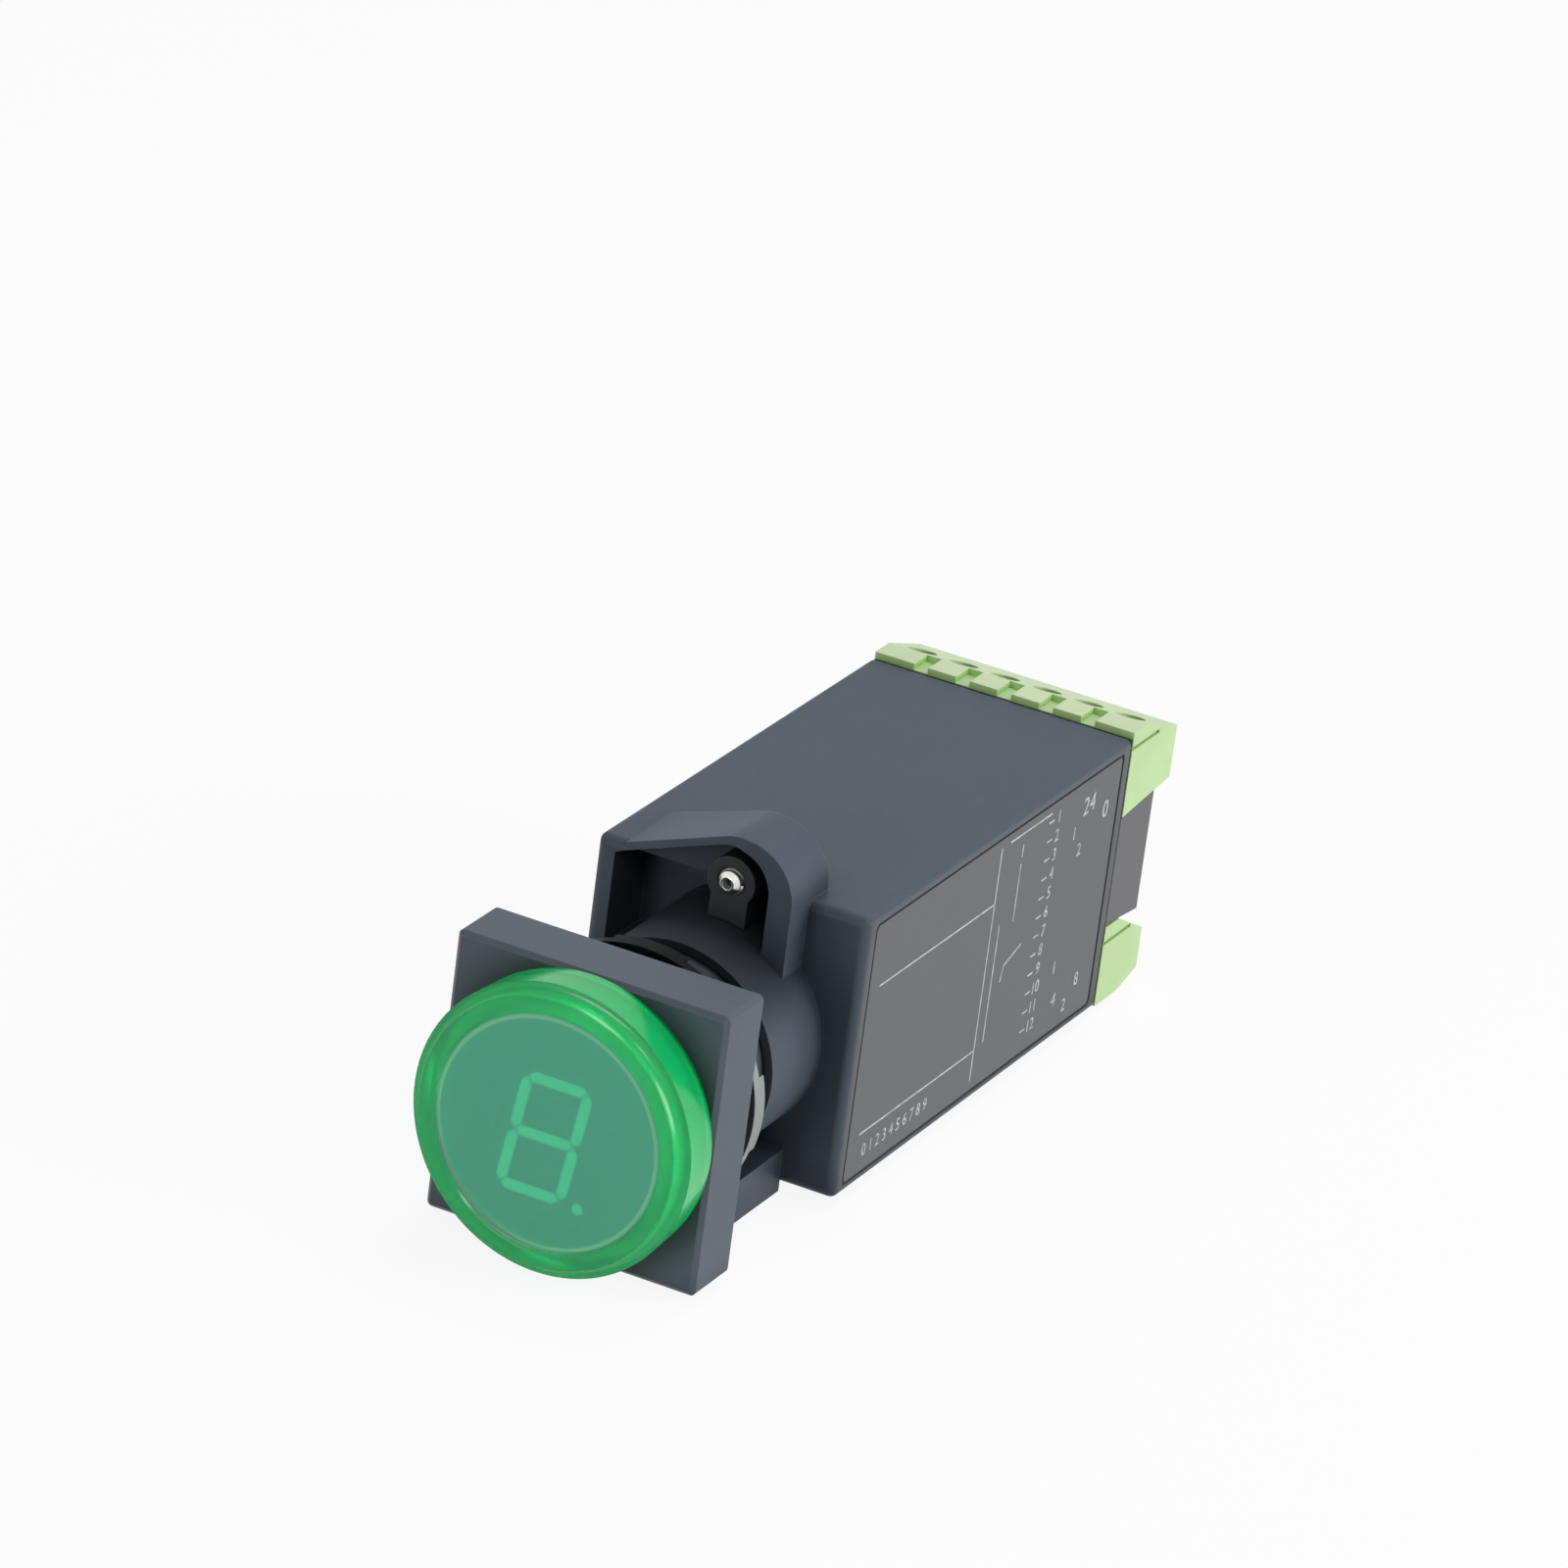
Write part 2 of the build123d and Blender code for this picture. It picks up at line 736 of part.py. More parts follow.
# Terminal board across the housing, with holes for the contact pins of both rows
terminal_board_rear = terminal_board_position + board_thickness
pole_places = [(i - (poles - 1) / 2) * pole_pitch for i in range(poles)]
with BuildPart() as terminal_board:
    with BuildSketch(section(terminal_board_position)):
        Rectangle(2 * main_board_half, 2 * (cavity_half_z - main_board_clearance))
        for row_z in (header_z, -header_z):
            with Locations(*[(x, row_z) for x in pole_places]):
                Rectangle(contact_hole, contact_hole, mode=Mode.SUBTRACT)
    extrude(amount=-board_thickness)
keep(terminal_board, "terminal_board")

# Rear cover: a spigot in the housing's mouth, a flange on its rim and a block that flares
plug_front = housing_rear + rear_gap
header_inner = nose_height / 2 + nose_clearance
header_outer = header_inner + header_wall
spigot_height = 2 * (header_z - header_outer - cover_fit)
cover_width = plug_width - 2 * cover_inset
with BuildPart() as rear_cover:
    with BuildSketch(side_plane(-cover_width / 2)):
        Polygon(
            (plug_front, -cover_top),
            (cover_rear, -cover_top - cover_flare),
            (cover_rear, cover_top + cover_flare),
            (plug_front, cover_top),
            align=None,
        )
    extrude(amount=cover_width)
    chamfer(rear_cover.faces().sort_by(Axis.Y)[-1].edges(), length=cover_edge)
    with BuildSketch(section(housing_rear)):
        Rectangle(housing_width - 2 * flange_inset, housing_height - 2 * flange_inset)
        with Locations((0, header_z), (0, -header_z)):
            Rectangle(2 * cavity_half_x, 2 * header_outer, mode=Mode.SUBTRACT)
    extrude(amount=-rear_gap)
    with BuildSketch(section(housing_rear - cover_spigot)):
        Rectangle(2 * (cavity_half_x - cover_fit), spigot_height)
    extrude(amount=-cover_spigot)
keep(rear_cover, "rear_cover")


def make_header(name, row_z):
    """Open-ended pin header on the terminal board: a base with a wall above and below."""
    reach = housing_rear - header_end_gap - terminal_board_rear
    with BuildPart() as header:
        with BuildSketch(section(terminal_board_rear)):
            with Locations((0, row_z)):
                Rectangle(2 * (cavity_half_x - cover_fit), 2 * header_outer)
        extrude(amount=-reach)
        with BuildSketch(section(terminal_board_rear + header_base)):
            with Locations((0, row_z)):
                Rectangle(2 * cavity_half_x, 2 * header_inner)
        extrude(amount=-reach, mode=Mode.SUBTRACT)
        with BuildSketch(section(terminal_board_rear)):
            with Locations(*[(x, row_z) for x in pole_places]):
                Rectangle(contact_pin + 2 * thread_clearance, contact_pin + 2 * thread_clearance)
        extrude(amount=-header_base, mode=Mode.SUBTRACT)
    keep(header, name + "_header")


def make_pins(name, row_z):
    """Contact pins of one row, from behind the terminal board into the plug's nose."""
    with BuildPart() as pins:
        with BuildSketch(section(terminal_board_position - contact_tail)):
            with Locations(*[(x, row_z) for x in pole_places]):
                Rectangle(contact_pin, contact_pin)
        extrude(amount=-(contact_reach - terminal_board_position + contact_tail))
    keep(pins, name + "_pins")


def make_plug(name, outline, row_z, wire_z, rear, top):
    """Pluggable terminal: a shaped body with chambers, screw shafts and a nose with contacts."""
    chamber = cage_size + 2 * cage_clearance
    chamber_length = cage_length + 2 * cage_clearance
    groove_z = top - side_groove_drop
    with BuildPart() as plug:
        with BuildSketch(side_plane(-plug_width / 2)):
            Polygon(*outline, align=None)
        extrude(amount=plug_width)
        with BuildSketch(section(nose_front)):
            with Locations((0, row_z)):
                Rectangle(2 * (cavity_half_x - nose_side_gap), nose_height)
        extrude(amount=-(plug_front - nose_front))
        with BuildSketch(section(nose_front)):
            with Locations(*[(x, row_z) for x in pole_places]):
                Rectangle(contact_pin + 2 * contact_clearance, contact_pin + 2 * contact_clearance)
        extrude(amount=-(contact_reach + contact_clearance - nose_front), mode=Mode.SUBTRACT)
        with BuildSketch(section(cage_position - chamber_length / 2)):
            with Locations(*[(x, wire_z) for x in pole_places]):
                Rectangle(chamber, chamber)
        extrude(amount=-chamber_length, mode=Mode.SUBTRACT)
        with BuildSketch(section(cage_position)):
            with Locations(*[(x, wire_z) for x in pole_places]):
                Rectangle(wire_opening, wire_opening)
        extrude(amount=-(rear - cage_position), mode=Mode.SUBTRACT)
        with BuildSketch(Plane.XY.offset(wire_z)):
            with Locations(*[(x, cage_position) for x in pole_places]):
                Circle(shaft_diameter / 2)
        extrude(amount=top - wire_z, mode=Mode.SUBTRACT)
        with BuildSketch(Plane.XY.offset(top)):
            for i in range(1, poles):
                with Locations(((i - poles / 2) * pole_pitch, plug_front + pad_groove_run / 2)):
                    Rectangle(pad_groove_width, pad_groove_run)
        extrude(amount=-pad_groove_depth, mode=Mode.SUBTRACT)
        with BuildSketch(section(plug_front)):
            with Locations((plug_width / 2, groove_z), (-plug_width / 2, groove_z)):
                Rectangle(2 * side_groove_size, side_groove_size)
        extrude(amount=-side_groove_run, mode=Mode.SUBTRACT)
    keep(plug, name + "_plug")


def make_cages(name, wire_z):
    """Wire clamps of one row: short square tubes with a threaded roof."""
    bore = cage_size - 2 * cage_wall
    with BuildPart() as cages:
        with BuildSketch(section(cage_position - cage_length / 2)):
            with Locations(*[(x, wire_z) for x in pole_places]):
                Rectangle(cage_size, cage_size)
                Rectangle(bore, bore, mode=Mode.SUBTRACT)
        extrude(amount=-cage_length)
    keep(cages, name + "_cages")


def make_screws(name, wire_z):
    """Slotted terminal screws of one row, standing on the wire clamps."""
    seat = wire_z + cage_size / 2
    with BuildPart() as screws:
        with BuildSketch(Plane.XY.offset(seat)):
            with Locations(*[(x, cage_position) for x in pole_places]):
                Circle(terminal_screw_diameter / 2)
        extrude(amount=terminal_screw_height)
        with BuildSketch(Plane.XY.offset(seat + terminal_screw_height)):
            with Locations(*[(x, cage_position) for x in pole_places]):
                Rectangle(terminal_screw_diameter, terminal_slot_width)
        extrude(amount=-terminal_slot_depth, mode=Mode.SUBTRACT)
    keep(screws, name + "_screws")


# Both terminal rows; each outline runs round the plug as seen from the right
flare_slope = cover_flare / (cover_rear - plug_front)
upper_outline = [
    (plug_front, cover_top + plug_clearance),
    (upper_rear, cover_top + plug_clearance + flare_slope * (upper_rear - plug_front)),
    (upper_rear, upper_top - upper_slope_drop),
    (upper_slope_start, upper_top),
    (plug_front, upper_top),
]
lower_outline = [
    (plug_front, lower_bottom),
    (lower_bevel_start, lower_bottom),
    (lower_rear, lower_bottom + lower_bevel_rise),
    (lower_rear, lower_top - lower_slope_drop),
    (lower_slope_start, lower_top),
    (plug_front, lower_top),
]
for row_name, row_z, wire_z in (("upper", header_z, upper_wire_z), ("lower", -header_z, lower_wire_z)):
    make_header(row_name, row_z)
    make_pins(row_name, row_z)
    make_cages(row_name, wire_z)
    make_screws(row_name, wire_z)
make_plug("upper", upper_outline, header_z, upper_wire_z, upper_rear, upper_top)
make_plug("lower", lower_outline, -header_z, lower_wire_z, lower_rear, lower_top)

# Thin label in the recess of the housing's right side
with BuildPart() as side_label:
    with BuildSketch(side_plane(housing_side - label_thickness)):
        with Locations((label_middle, 0)):
            RectangleRounded(label_length, label_height, label_corner)
    extrude(amount=label_thickness)
keep(side_label, "side_label")

# Write every piece to a file of its own
os.makedirs("parts", exist_ok=True)
for piece in parts:
    export_step(piece, os.path.join("parts", piece.label + ".step"))
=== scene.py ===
"""Looks of a panel-mounted single-digit display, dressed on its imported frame.

X points right as the digit is read, Y back into the panel and Z up. All sizes are in metres,
and mm() turns a size in millimetres into metres.
"""

import json
import logging
import math
from dataclasses import dataclass, field
from enum import Enum
from typing import Callable, Union

import bpy
from mathutils import Matrix, Vector

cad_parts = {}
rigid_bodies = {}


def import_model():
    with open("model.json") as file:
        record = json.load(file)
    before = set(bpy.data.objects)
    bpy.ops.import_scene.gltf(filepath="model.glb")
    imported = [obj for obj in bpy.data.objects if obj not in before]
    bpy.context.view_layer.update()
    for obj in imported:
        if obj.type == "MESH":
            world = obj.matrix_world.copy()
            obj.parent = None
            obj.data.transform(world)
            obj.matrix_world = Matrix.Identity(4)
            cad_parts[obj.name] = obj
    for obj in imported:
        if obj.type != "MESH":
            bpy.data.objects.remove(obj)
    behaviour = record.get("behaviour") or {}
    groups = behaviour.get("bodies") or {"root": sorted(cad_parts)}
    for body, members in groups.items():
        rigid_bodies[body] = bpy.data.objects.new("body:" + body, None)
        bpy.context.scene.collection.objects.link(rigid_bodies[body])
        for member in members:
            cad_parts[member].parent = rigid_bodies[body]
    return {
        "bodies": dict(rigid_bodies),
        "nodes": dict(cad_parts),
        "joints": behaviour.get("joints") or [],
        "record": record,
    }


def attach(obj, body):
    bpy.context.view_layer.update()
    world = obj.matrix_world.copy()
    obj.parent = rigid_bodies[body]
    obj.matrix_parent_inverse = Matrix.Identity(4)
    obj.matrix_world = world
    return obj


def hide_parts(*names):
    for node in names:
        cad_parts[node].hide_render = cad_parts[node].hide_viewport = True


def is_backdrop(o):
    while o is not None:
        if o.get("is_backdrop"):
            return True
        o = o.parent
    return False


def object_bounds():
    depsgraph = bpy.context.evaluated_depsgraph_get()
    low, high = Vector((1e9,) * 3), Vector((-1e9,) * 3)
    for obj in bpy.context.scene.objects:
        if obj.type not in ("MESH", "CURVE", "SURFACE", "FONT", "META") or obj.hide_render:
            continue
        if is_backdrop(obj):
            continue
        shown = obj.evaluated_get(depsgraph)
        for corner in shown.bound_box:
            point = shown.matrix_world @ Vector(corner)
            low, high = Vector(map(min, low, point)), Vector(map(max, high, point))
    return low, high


log = logging.getLogger("digital_display")
Colour = tuple[float, float, float]


def mm(*lengths: float) -> Union[float, Vector]:
    """One length, or a vector of them, given in millimetres and returned in metres."""
    return lengths[0] / 1000 if len(lengths) == 1 else Vector(lengths) / 1000


class Reading:
    """A shader value that takes part in Python arithmetic by adding Math nodes."""

    def __init__(self, paint: "Paint", socket: bpy.types.NodeSocket) -> None:
        """Wraps a value socket of the given paint's node tree."""
        self.paint = paint
        self.socket = socket

    def math(self, operation: str, *others: Union["Reading", float]) -> "Reading":
        """Adds one Math node that starts with this reading.

        Args:
            operation: Name of the Math node's operation.
            others: The node's further inputs.

        Returns:
            The node's result.
        """
        inputs = dict(enumerate((self, *others)))
        return self.paint.value("ShaderNodeMath", {"operation": operation}, inputs)

    def _flipped(self, operation: str, other: float) -> "Reading":
        """The operation with the plain number first."""
        return self.paint.value("ShaderNodeMath", {"operation": operation}, {0: other, 1: self})

    def __add__(self, other: Union["Reading", float]) -> "Reading":
        """Sum."""
        return self.math("ADD", other)

    def __sub__(self, other: Union["Reading", float]) -> "Reading":
        """Difference."""
        return self.math("SUBTRACT", other)

    def __mul__(self, other: Union["Reading", float]) -> "Reading":
        """Product."""
        return self.math("MULTIPLY", other)

    def __truediv__(self, other: Union["Reading", float]) -> "Reading":
        """Quotient."""
        return self.math("DIVIDE", other)

    def __pow__(self, other: float) -> "Reading":
        """Power."""
        return self.math("POWER", other)

    def __rsub__(self, other: float) -> "Reading":
        """Difference, with the plain number first."""
        return self._flipped("SUBTRACT", other)

    def __rtruediv__(self, other: float) -> "Reading":
        """Quotient, with the plain number first."""
        return self._flipped("DIVIDE", other)

    def __abs__(self) -> "Reading":
        """Size without its sign."""
        return self.math("ABSOLUTE")

    __radd__ = __add__
    __rmul__ = __mul__

    def over(self, limit: float, softness: float = 1e-6) -> "Reading":
        """1 where the reading is over the limit and 0 below, with a ramp of the given width."""
        settings = {"clamp": True, "interpolation_type": "SMOOTHSTEP"}
        low, high = limit - softness / 2, limit + softness / 2
        inputs = {"Value": self, "From Min": low, "From Max": high}
        return self.paint.value("ShaderNodeMapRange", settings, inputs)

    def within(self, centre: float, half: float, softness: float = 1e-6) -> "Reading":
        """1 where the reading lies within half of the centre, and 0 elsewhere."""
        return 1 - abs(self - centre).over(half, softness)

    def least(self, other: Union["Reading", float]) -> "Reading":
        """The smaller of two readings."""
        return self.math("MINIMUM", other)

    def most(self, other: Union["Reading", float]) -> "Reading":
        """The larger of two readings."""
        return self.math("MAXIMUM", other)


class Paint:
    """A material's node tree, which ends in one Principled shader."""

    def __init__(self, name: str, **constants: Union[float, tuple]) -> None:
        """Makes the material and sets what is the same all over its surface.

        Args:
            name: Name of the material.
            constants: Values of the shader's sockets, with _ for a space in a socket's name.
        """
        self.material = bpy.data.materials.new(name)
        self.material.use_nodes = True
        self.tree = self.material.node_tree
        self.tree.nodes.clear()
        self.output = self.node("ShaderNodeOutputMaterial")
        self.shader = self.node("ShaderNodeBsdfPrincipled")
        self.tree.links.new(self.shader.outputs[0], self.output.inputs["Surface"])
        for socket, value in constants.items():
            self.shader.inputs[socket.replace("_", " ")].default_value = value
        place = self.node("ShaderNodeTexCoord").outputs["Object"]
        self.place = place
        self.x, self.y, self.z = (
            Reading(self, s) for s in self.node("ShaderNodeSeparateXYZ", {}, {0: place}).outputs
        )

    def node(
        self,
        kind: str,
        settings: Union[dict, None] = None,
        inputs: Union[dict, None] = None,
    ) -> bpy.types.Node:
        """Adds any node.

        Args:
            kind: The node's type.
            settings: Its properties, set before its sockets.
            inputs: Value, reading or socket for each input, by name or number.

        Returns:
            The new node.
        """
        node = self.tree.nodes.new(kind)
        for name, value in (settings or {}).items():
            setattr(node, name, value)
        for key, value in (inputs or {}).items():
            self.feed(node.inputs[key], value)
        return node

    def feed(self, socket: bpy.types.NodeSocket, value: object) -> None:
        """Links a reading or a socket to the given socket, or sets it to a plain value."""
        if isinstance(value, Reading):
            value = value.socket
        if isinstance(value, bpy.types.NodeSocket):
            self.tree.links.new(value, socket)
        elif socket.type == "RGBA" and len(value) == 3:
            socket.default_value = (*value, 1.0)
        else:
            socket.default_value = value

    def value(self, kind: str, settings: dict, inputs: dict) -> Reading:
        """Adds a node and returns its first output as a reading."""
        return Reading(self, self.node(kind, settings, inputs).outputs[0])

    def noise(self, size: float, detail: float = 2.0, stretch: Colour = (1, 1, 1)) -> Reading:
        """Noise from 0 to 1 about 0.5.

        Args:
            size: Width of its largest lumps, in metres.
            detail: How many finer layers it has.
            stretch: Scale of the pattern along each axis; a small value draws it out.

        Returns:
            The noise.
        """
        spread = self.node("ShaderNodeMapping", {}, {"Vector": self.place, "Scale": stretch})
        inputs = {"Vector": spread.outputs[0], "Scale": 1 / size, "Detail": detail}
        return self.value("ShaderNodeTexNoise", {}, inputs)

    def mix(
        self, share: Union[Reading, float], first: object, second: object
    ) -> bpy.types.NodeSocket:
        """A colour between two colours, all of the second where the share is 1."""
        inputs = {0: share, 6: first, 7: second}
        return self.node("ShaderNodeMix", {"data_type": "RGBA"}, inputs).outputs[2]

    def rounded(self, radius: float) -> bpy.types.NodeSocket:
        """Surface normal with every edge rounded to the given radius."""
        return self.node("ShaderNodeBevel", {"samples": 4}, {"Radius": radius}).outputs[0]

    def edge(self, radius: float, start: float = 0.02, full: float = 0.25) -> Reading:
        """1 on the edges of the piece and 0 on its open surfaces."""
        plain = self.node("ShaderNodeNewGeometry").outputs["Normal"]
        settings = {"operation": "DOT_PRODUCT"}
        turned = self.node("ShaderNodeVectorMath", settings, {0: plain, 1: self.rounded(radius)})
        turn = 1 - Reading(self, turned.outputs["Value"])
        inputs = {"Value": turn, "From Min": start, "From Max": full}
        return self.value("ShaderNodeMapRange", {"clamp": True}, inputs)

    def from_axis(self) -> Reading:
        """Distance from the barrel's axis, in metres."""
        return (self.x**2 + self.z**2) ** 0.5

    def facing_up(self) -> Reading:
        """1 on faces that look straight up, 0 on upright ones and -1 on the underside."""
        plain = self.node("ShaderNodeNewGeometry").outputs["Normal"]
        return Reading(self, self.node("ShaderNodeSeparateXYZ", {}, {0: plain}).outputs["Z"])

    def hollow(self, reach: float) -> Reading:
        """1 in the open and less in corners and recesses, out to the given reach."""
        shade = self.node("ShaderNodeAmbientOcclusion", {"samples": 8}, {"Distance": reach})
        return Reading(self, shade.outputs["AO"])

    def relief(
        self, height: Reading, depth: float, normal: object = None
    ) -> bpy.types.NodeSocket:
        """Normal of a surface with a relief of the given depth, on top of another normal."""
        inputs = {"Height": height, "Strength": 1.0, "Distance": depth}
        if normal is not None:
            inputs["Normal"] = normal
        return self.node("ShaderNodeBump", {}, inputs).outputs[0]

    def surface(self, **sockets: object) -> "Paint":
        """Feeds the shader's sockets that vary, with _ for a space in a socket's name."""
        for name, value in sockets.items():
            self.feed(self.shader.inputs[name.replace("_", " ")], value)
        return self


def scaled(colour: Colour, factor: float, lift: float = 0.0) -> Colour:
    """The colour times a factor, plus a lift, and never over 1."""
    return tuple(min(1.0, c * factor + lift) for c in colour)


@dataclass(frozen=True)
class MouldedPlastic:
    """Opaque moulded plastic with an eroded grain, worn edges partly lit by a painted highlight,
    and painted shade in recesses.

    Within the painted shadow radius about the barrel's axis its top is darker, a painted shadow.
    To the right of the rubbed place it has the rubbed colour. Faces that look up are lightened
    by a share of painted light.
    """

    name: str
    colour: Colour
    # Colour of worn edges; on the housing it is raised as a painted highlight.
    worn: Colour
    # Colour of the painted shade in recesses and of the painted shadow on the top.
    deep: Colour
    roughness: float = 0.42
    shine: float = 0.35
    # Reach, cap and gain of the painted shade in recesses.
    reach: float = mm(4)
    sunk_share: float = 1.0
    sunk_gain: float = 1.6
    cloud_size: float = mm(9)
    darkest: float = 0.86
    lightest: float = 1.12
    grain: float = mm(0.22)
    depth: float = mm(0.01)
    rounding: float = mm(0.2)
    chafe_size: float = mm(1.6)
    streak_size: float = mm(0.6)
    streak_share: float = 0.04
    # Painted shadow on the top near the barrel's axis: its radius, height, fade and share.
    soiled_radius: float = 0.0
    soiled_height: float = mm(6.5)
    soiled_fade: float = mm(7)
    soiled_share: float = 0.85
    rubbed: Colour = (0.088, 0.094, 0.106)
    rubbed_from: float = 0.0
    # Painted light on faces that look up, and its share.
    dust: Colour = (0.80, 0.88, 0.62)
    dust_share: float = 0.0

    def shade(self, paint: Paint, cloud: Reading) -> bpy.types.NodeSocket:
        """Colour of the open surfaces, with painted light on faces that look up.

        Args:
            paint: The material's paint.
            cloud: Slow change of tone, from 0 to 1.

        Returns:
            The colour, without the worn and highlighted edges and the painted shade in recesses.
        """
        tones = scaled(self.colour, self.darkest), scaled(self.colour, self.lightest)
        shade = paint.mix(cloud, *tones)
        if self.rubbed_from > 0:
            shade = paint.mix(paint.x.over(self.rubbed_from, mm(0.1)), shade, self.rubbed)
        # Faces that look up are lightened: painted light on the tops.
        if self.dust_share > 0:
            up = paint.facing_up().over(0.7, 0.3) * self.dust_share
            shade = paint.mix(up * (0.7 + 0.6 * (cloud - 0.5)), shade, self.dust)
        return shade

    def sunk(self, paint: Paint) -> Reading:
        """Share of the painted shade colour: painted shade in recesses and a painted shadow on the
        top near the barrel.
        """
        sunk = ((1 - paint.hollow(self.reach)) * self.sunk_gain).least(self.sunk_share)
        # Painted shadow on the top within the radius about the barrel's axis.
        if self.soiled_radius > 0:
            inside = 1 - paint.from_axis().over(self.soiled_radius, mm(0.2))
            top = paint.z.over(self.soiled_height, self.soiled_fade) * self.soiled_share
            sunk = sunk.most(top * inside)
        return sunk

    def make(self) -> bpy.types.Material:
        """Builds the material."""
        paint = Paint(self.name, IOR=1.5, Specular_IOR_Level=self.shine)
        cloud = paint.noise(self.cloud_size, 3)
        fleck = paint.noise(self.grain, 2)
        edge = paint.edge(self.rounding) * (0.45 + 0.5 * paint.noise(self.chafe_size, 3))
        streak = paint.noise(self.streak_size, 2, (1, 0.12, 1)).over(0.66, 0.1)
        # Wear on edges and streaks, which also carries the housing's painted edge highlight.
        wear = edge + streak * self.streak_share
        worn = paint.mix(wear, self.shade(paint, cloud), self.worn)
        return paint.surface(
            # Painted shade in recesses and painted shadow on the top, over the surface colour.
            Base_Color=paint.mix(self.sunk(paint), worn, self.deep),
            Roughness=self.roughness + 0.16 * (cloud - 0.5) + 0.10 * fleck,
            Normal=paint.relief(fleck, self.depth, paint.rounded(self.rounding)),
        ).material


@dataclass(frozen=True)
class TintedLens:
    """Clear green plastic with a thick wall about a flat field, and a pale step between them."""

    name: str
    field: Colour
    wall: Colour
    step: Colour
    field_radius: float
    step_inset: float = mm(0.35)
    step_width: float = mm(0.4)
    fade: float = mm(0.4)
    field_roughness: float = 0.03
    wall_roughness: float = 0.25

    def make(self) -> bpy.types.Material:
        """Builds the material."""
        paint = Paint(
            self.name,
            IOR=1.49,
            Transmission_Weight=0.66,
            Specular_IOR_Level=0.05,
            Coat_Weight=0.2,
            Coat_Roughness=0.04,
        )
        radius = paint.from_axis()
        thick = radius.over(self.field_radius, self.fade)
        wall = paint.mix(paint.noise(mm(4), 2), self.wall, scaled(self.wall, 1.2, 0.01))
        step_radius = self.field_radius - self.step_inset
        line = radius.within(step_radius, self.step_width / 2, self.fade / 2) * 0.9
        smooth = self.field_roughness + 0.03 * paint.noise(mm(1.5), 3)
        return paint.surface(
            Base_Color=paint.mix(line, paint.mix(thick, self.field, wall), self.step),
            Roughness=smooth + (self.wall_roughness - self.field_roughness) * thick,
            Normal=paint.relief(paint.noise(mm(2.5), 2), mm(0.02), paint.rounded(mm(0.3))),
        ).material


@dataclass(frozen=True)
class Metal:
    """Plated or turned metal with fine tool marks, with painted shade in recesses and above a
    given height.
    """

    name: str
    colour: Colour
    roughness: float = 0.28
    along: Colour = (1, 0.1, 1)
    # Reach and gain of the painted shade in recesses; painted shade above a height, its fade and
    # tone.
    reach: float = mm(0.8)
    sunk_gain: float = 1.3
    blackened: float = 1.0
    blackened_fade: float = mm(6)
    black_share: float = 0.03

    def make(self) -> bpy.types.Material:
        """Builds the material."""
        paint = Paint(self.name, Specular_IOR_Level=0.03)
        lines = paint.noise(mm(0.12), 3, self.along)
        dull = paint.noise(mm(2), 3)
        shade = paint.mix(dull, scaled(self.colour, 0.8), self.colour)
        # Painted shade in recesses and over the top above the given height.
        sunk = ((1 - paint.hollow(self.reach)) * self.sunk_gain).least(1.0)
        dark = sunk.most(paint.z.over(self.blackened, self.blackened_fade))
        return paint.surface(
            Base_Color=paint.mix(dark, shade, scaled(self.colour, self.black_share)),
            Metallic=1 - dark,
            Roughness=self.roughness + 0.18 * (dull - 0.5) + 0.12 * lines,
            Normal=paint.relief(lines, mm(0.004), paint.rounded(mm(0.12))),
        ).material


@dataclass(frozen=True)
class Laminate:
    """Circuit board with a woven core, a solder mask and tinned tracks under it."""

    name: str
    mask: Colour = (0.02, 0.16, 0.07)
    track: Colour = (0.05, 0.30, 0.13)
    pitch: float = mm(1.27)
    thread: float = mm(0.5)

    def make(self) -> bpy.types.Material:
        """Builds the material."""
        paint = Paint(self.name, IOR=1.5, Coat_Weight=0.4)
        lane = (paint.x / self.pitch).math("PINGPONG", 0.5)
        jog = paint.noise(mm(6), 0).over(0.5, 0.02)
        tracks = (lane + 0.25 * jog).within(0.3, 0.09, 0.05)
        across = (paint.y / self.thread).math("PINGPONG", 0.5)
        weave = across * (paint.z / self.thread).math("PINGPONG", 0.5)
        return paint.surface(
            Base_Color=paint.mix(tracks * 0.8 + weave * 0.3, self.mask, self.track),
            Roughness=0.35 + 0.15 * paint.noise(mm(1), 2),
            Normal=paint.relief(tracks, mm(0.03)),
        ).material


@dataclass(frozen=True)
class Rubber:
    """Matt seal rubber with a bloom of pale dust."""

    name: str
    colour: Colour

    def make(self) -> bpy.types.Material:
        """Builds the material."""
        paint = Paint(self.name, IOR=1.52, Specular_IOR_Level=0.15)
        bloom = paint.noise(mm(1.2), 4)
        return paint.surface(
            Base_Color=paint.mix(bloom, self.colour, scaled(self.colour, 1.4, 0.004)),
            Roughness=0.7 + 0.2 * (bloom - 0.5),
            Normal=paint.relief(paint.noise(mm(0.3), 3), mm(0.02), paint.rounded(mm(0.15))),
        ).material


@dataclass(frozen=True)
class SegmentResin:
    """Pale diffusing resin of the digit, brighter along the middle of each bar."""

    name: str
    colour: Colour
    rim: Colour
    glow: float

    def make(self) -> bpy.types.Material:
        """Builds the material."""
        paint = Paint(self.name, IOR=1.5, Subsurface_Weight=0.1, Emission_Strength=self.glow)
        edge = paint.edge(mm(0.5), 0.005, 0.3)
        grain = paint.noise(mm(0.7), 3)
        return paint.surface(
            Base_Color=paint.mix(edge * 0.8 + grain * 0.25, self.colour, self.rim),
            Emission_Color=self.colour,
            Roughness=0.4 + 0.2 * grain,
            Normal=paint.relief(grain, mm(0.01), paint.rounded(mm(0.1))),
        ).material


